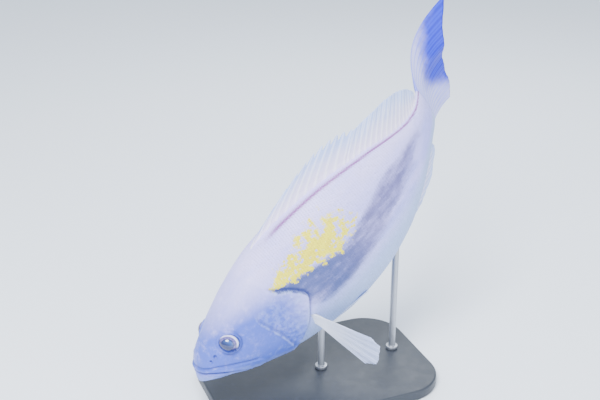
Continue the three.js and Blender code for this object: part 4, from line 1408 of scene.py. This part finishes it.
WORLD_COLOUR = (0.77, 0.87, 1.0, 1)
WORLD_STRENGTH = 1.4
LIGHT_TARGET = (0.05, 0.03, 0.22)
LIGHTS = [  # name, place, size, power, tint
    ("key", (-0.9, -0.8, 1.9), 1.0, 92, (0.94, 0.965, 1.0)),
    ("fill", (0.9, -1.7, 0.7), 1.6, 18, (0.84, 0.9, 1.0)),
    ("rim", (0.9, 1.2, 1.5), 1.0, 20, (0.9, 0.95, 1.0)),
]
FLOOR_SIZE = 30


def make_floor():
    bpy.ops.object.select_all(action="DESELECT")
    bpy.ops.mesh.primitive_plane_add(size=FLOOR_SIZE, location=(0, 0, 0))
    floor = bpy.context.active_object
    floor.name = "studio_floor"
    material, _, shader = new_material("Pale floor")
    shader.inputs["Base Color"].default_value = FLOOR_PALE
    shader.inputs["Roughness"].default_value = 0.85
    floor.data.materials.append(material)


def add_light(name, location, size, power, tint):
    light = bpy.data.lights.new(name, "AREA")
    light.shape = "DISK"
    light.size = size
    light.energy = power
    light.color = tint
    lamp = bpy.data.objects.new(name, light)
    lamp.location = location
    lamp.rotation_euler = (Vector(LIGHT_TARGET) - Vector(location)).to_track_quat("-Z", "Y").to_euler()
    bpy.context.scene.collection.objects.link(lamp)


def make_lights():
    world = bpy.data.worlds.new("Studio")
    world.use_nodes = True
    background = world.node_tree.nodes["Background"]
    background.inputs["Color"].default_value = WORLD_COLOUR
    background.inputs["Strength"].default_value = WORLD_STRENGTH
    bpy.context.scene.world = world
    for light in LIGHTS:
        add_light(*light)


VIEW_LENS = 60
SENSOR_WIDTH = 36
VIEW_AZIMUTH = math.radians(-22.3)
VIEW_ELEVATION = math.radians(23.9)
VIEW_DISTANCE = 1.357
VIEW_SIDEWAYS = -7.2 * MM
VIEW_RAISE = 91.8 * MM


def make_camera():
    back = Vector(
        (
            math.sin(VIEW_AZIMUTH) * math.cos(VIEW_ELEVATION),
            -math.cos(VIEW_AZIMUTH) * math.cos(VIEW_ELEVATION),
            math.sin(VIEW_ELEVATION),
        )
    )
    right = Vector((math.cos(VIEW_AZIMUTH), math.sin(VIEW_AZIMUTH), 0))
    neck = Vector(placed(np.array([NECK * LENGTH, 0, 0])))
    data = bpy.data.cameras.new("photo_view")
    data.lens = VIEW_LENS
    data.sensor_width = SENSOR_WIDTH
    camera = bpy.data.objects.new("photo_view", data)
    camera.location = neck + right * VIEW_SIDEWAYS + Vector((0, 0, VIEW_RAISE)) + back * VIEW_DISTANCE
    camera.rotation_euler = (-back).to_track_quat("-Z", "Y").to_euler()
    bpy.context.scene.collection.objects.link(camera)
    bpy.context.scene.camera = camera


def main():
    make_camera()
    markings = grouper_markings()
    membrane = fin_membrane()
    wear = surface_wear()
    skin = make_skin(skin_material(markings))
    add_markings(skin.data, read_vectors(skin.data, "straight"))
    scales = scale_material(markings)
    make_scales(-1, scales, "scales_left")
    make_scales(1, scales, "scales_right")
    make_fins(*(fin_material(name, membrane, *paints) for name, paints in FIN_PAINTS.items()))
    eye = eye_material()
    make_eye(-1, eye, "left")
    make_eye(1, eye, "right")
    make_base(stand_material("Charcoal paint", wear, CHARCOAL, CHARCOAL_WORN, size=60.0, amount=0.3))
    steel = stand_material("Brushed steel", wear, STEEL, STEEL_WORN, size=120.0, amount=0.4, metallic=1.0)
    make_rod("stand_rod_front", steel)
    make_rod("stand_rod_rear", steel)
    make_floor()
    make_lights()


main()
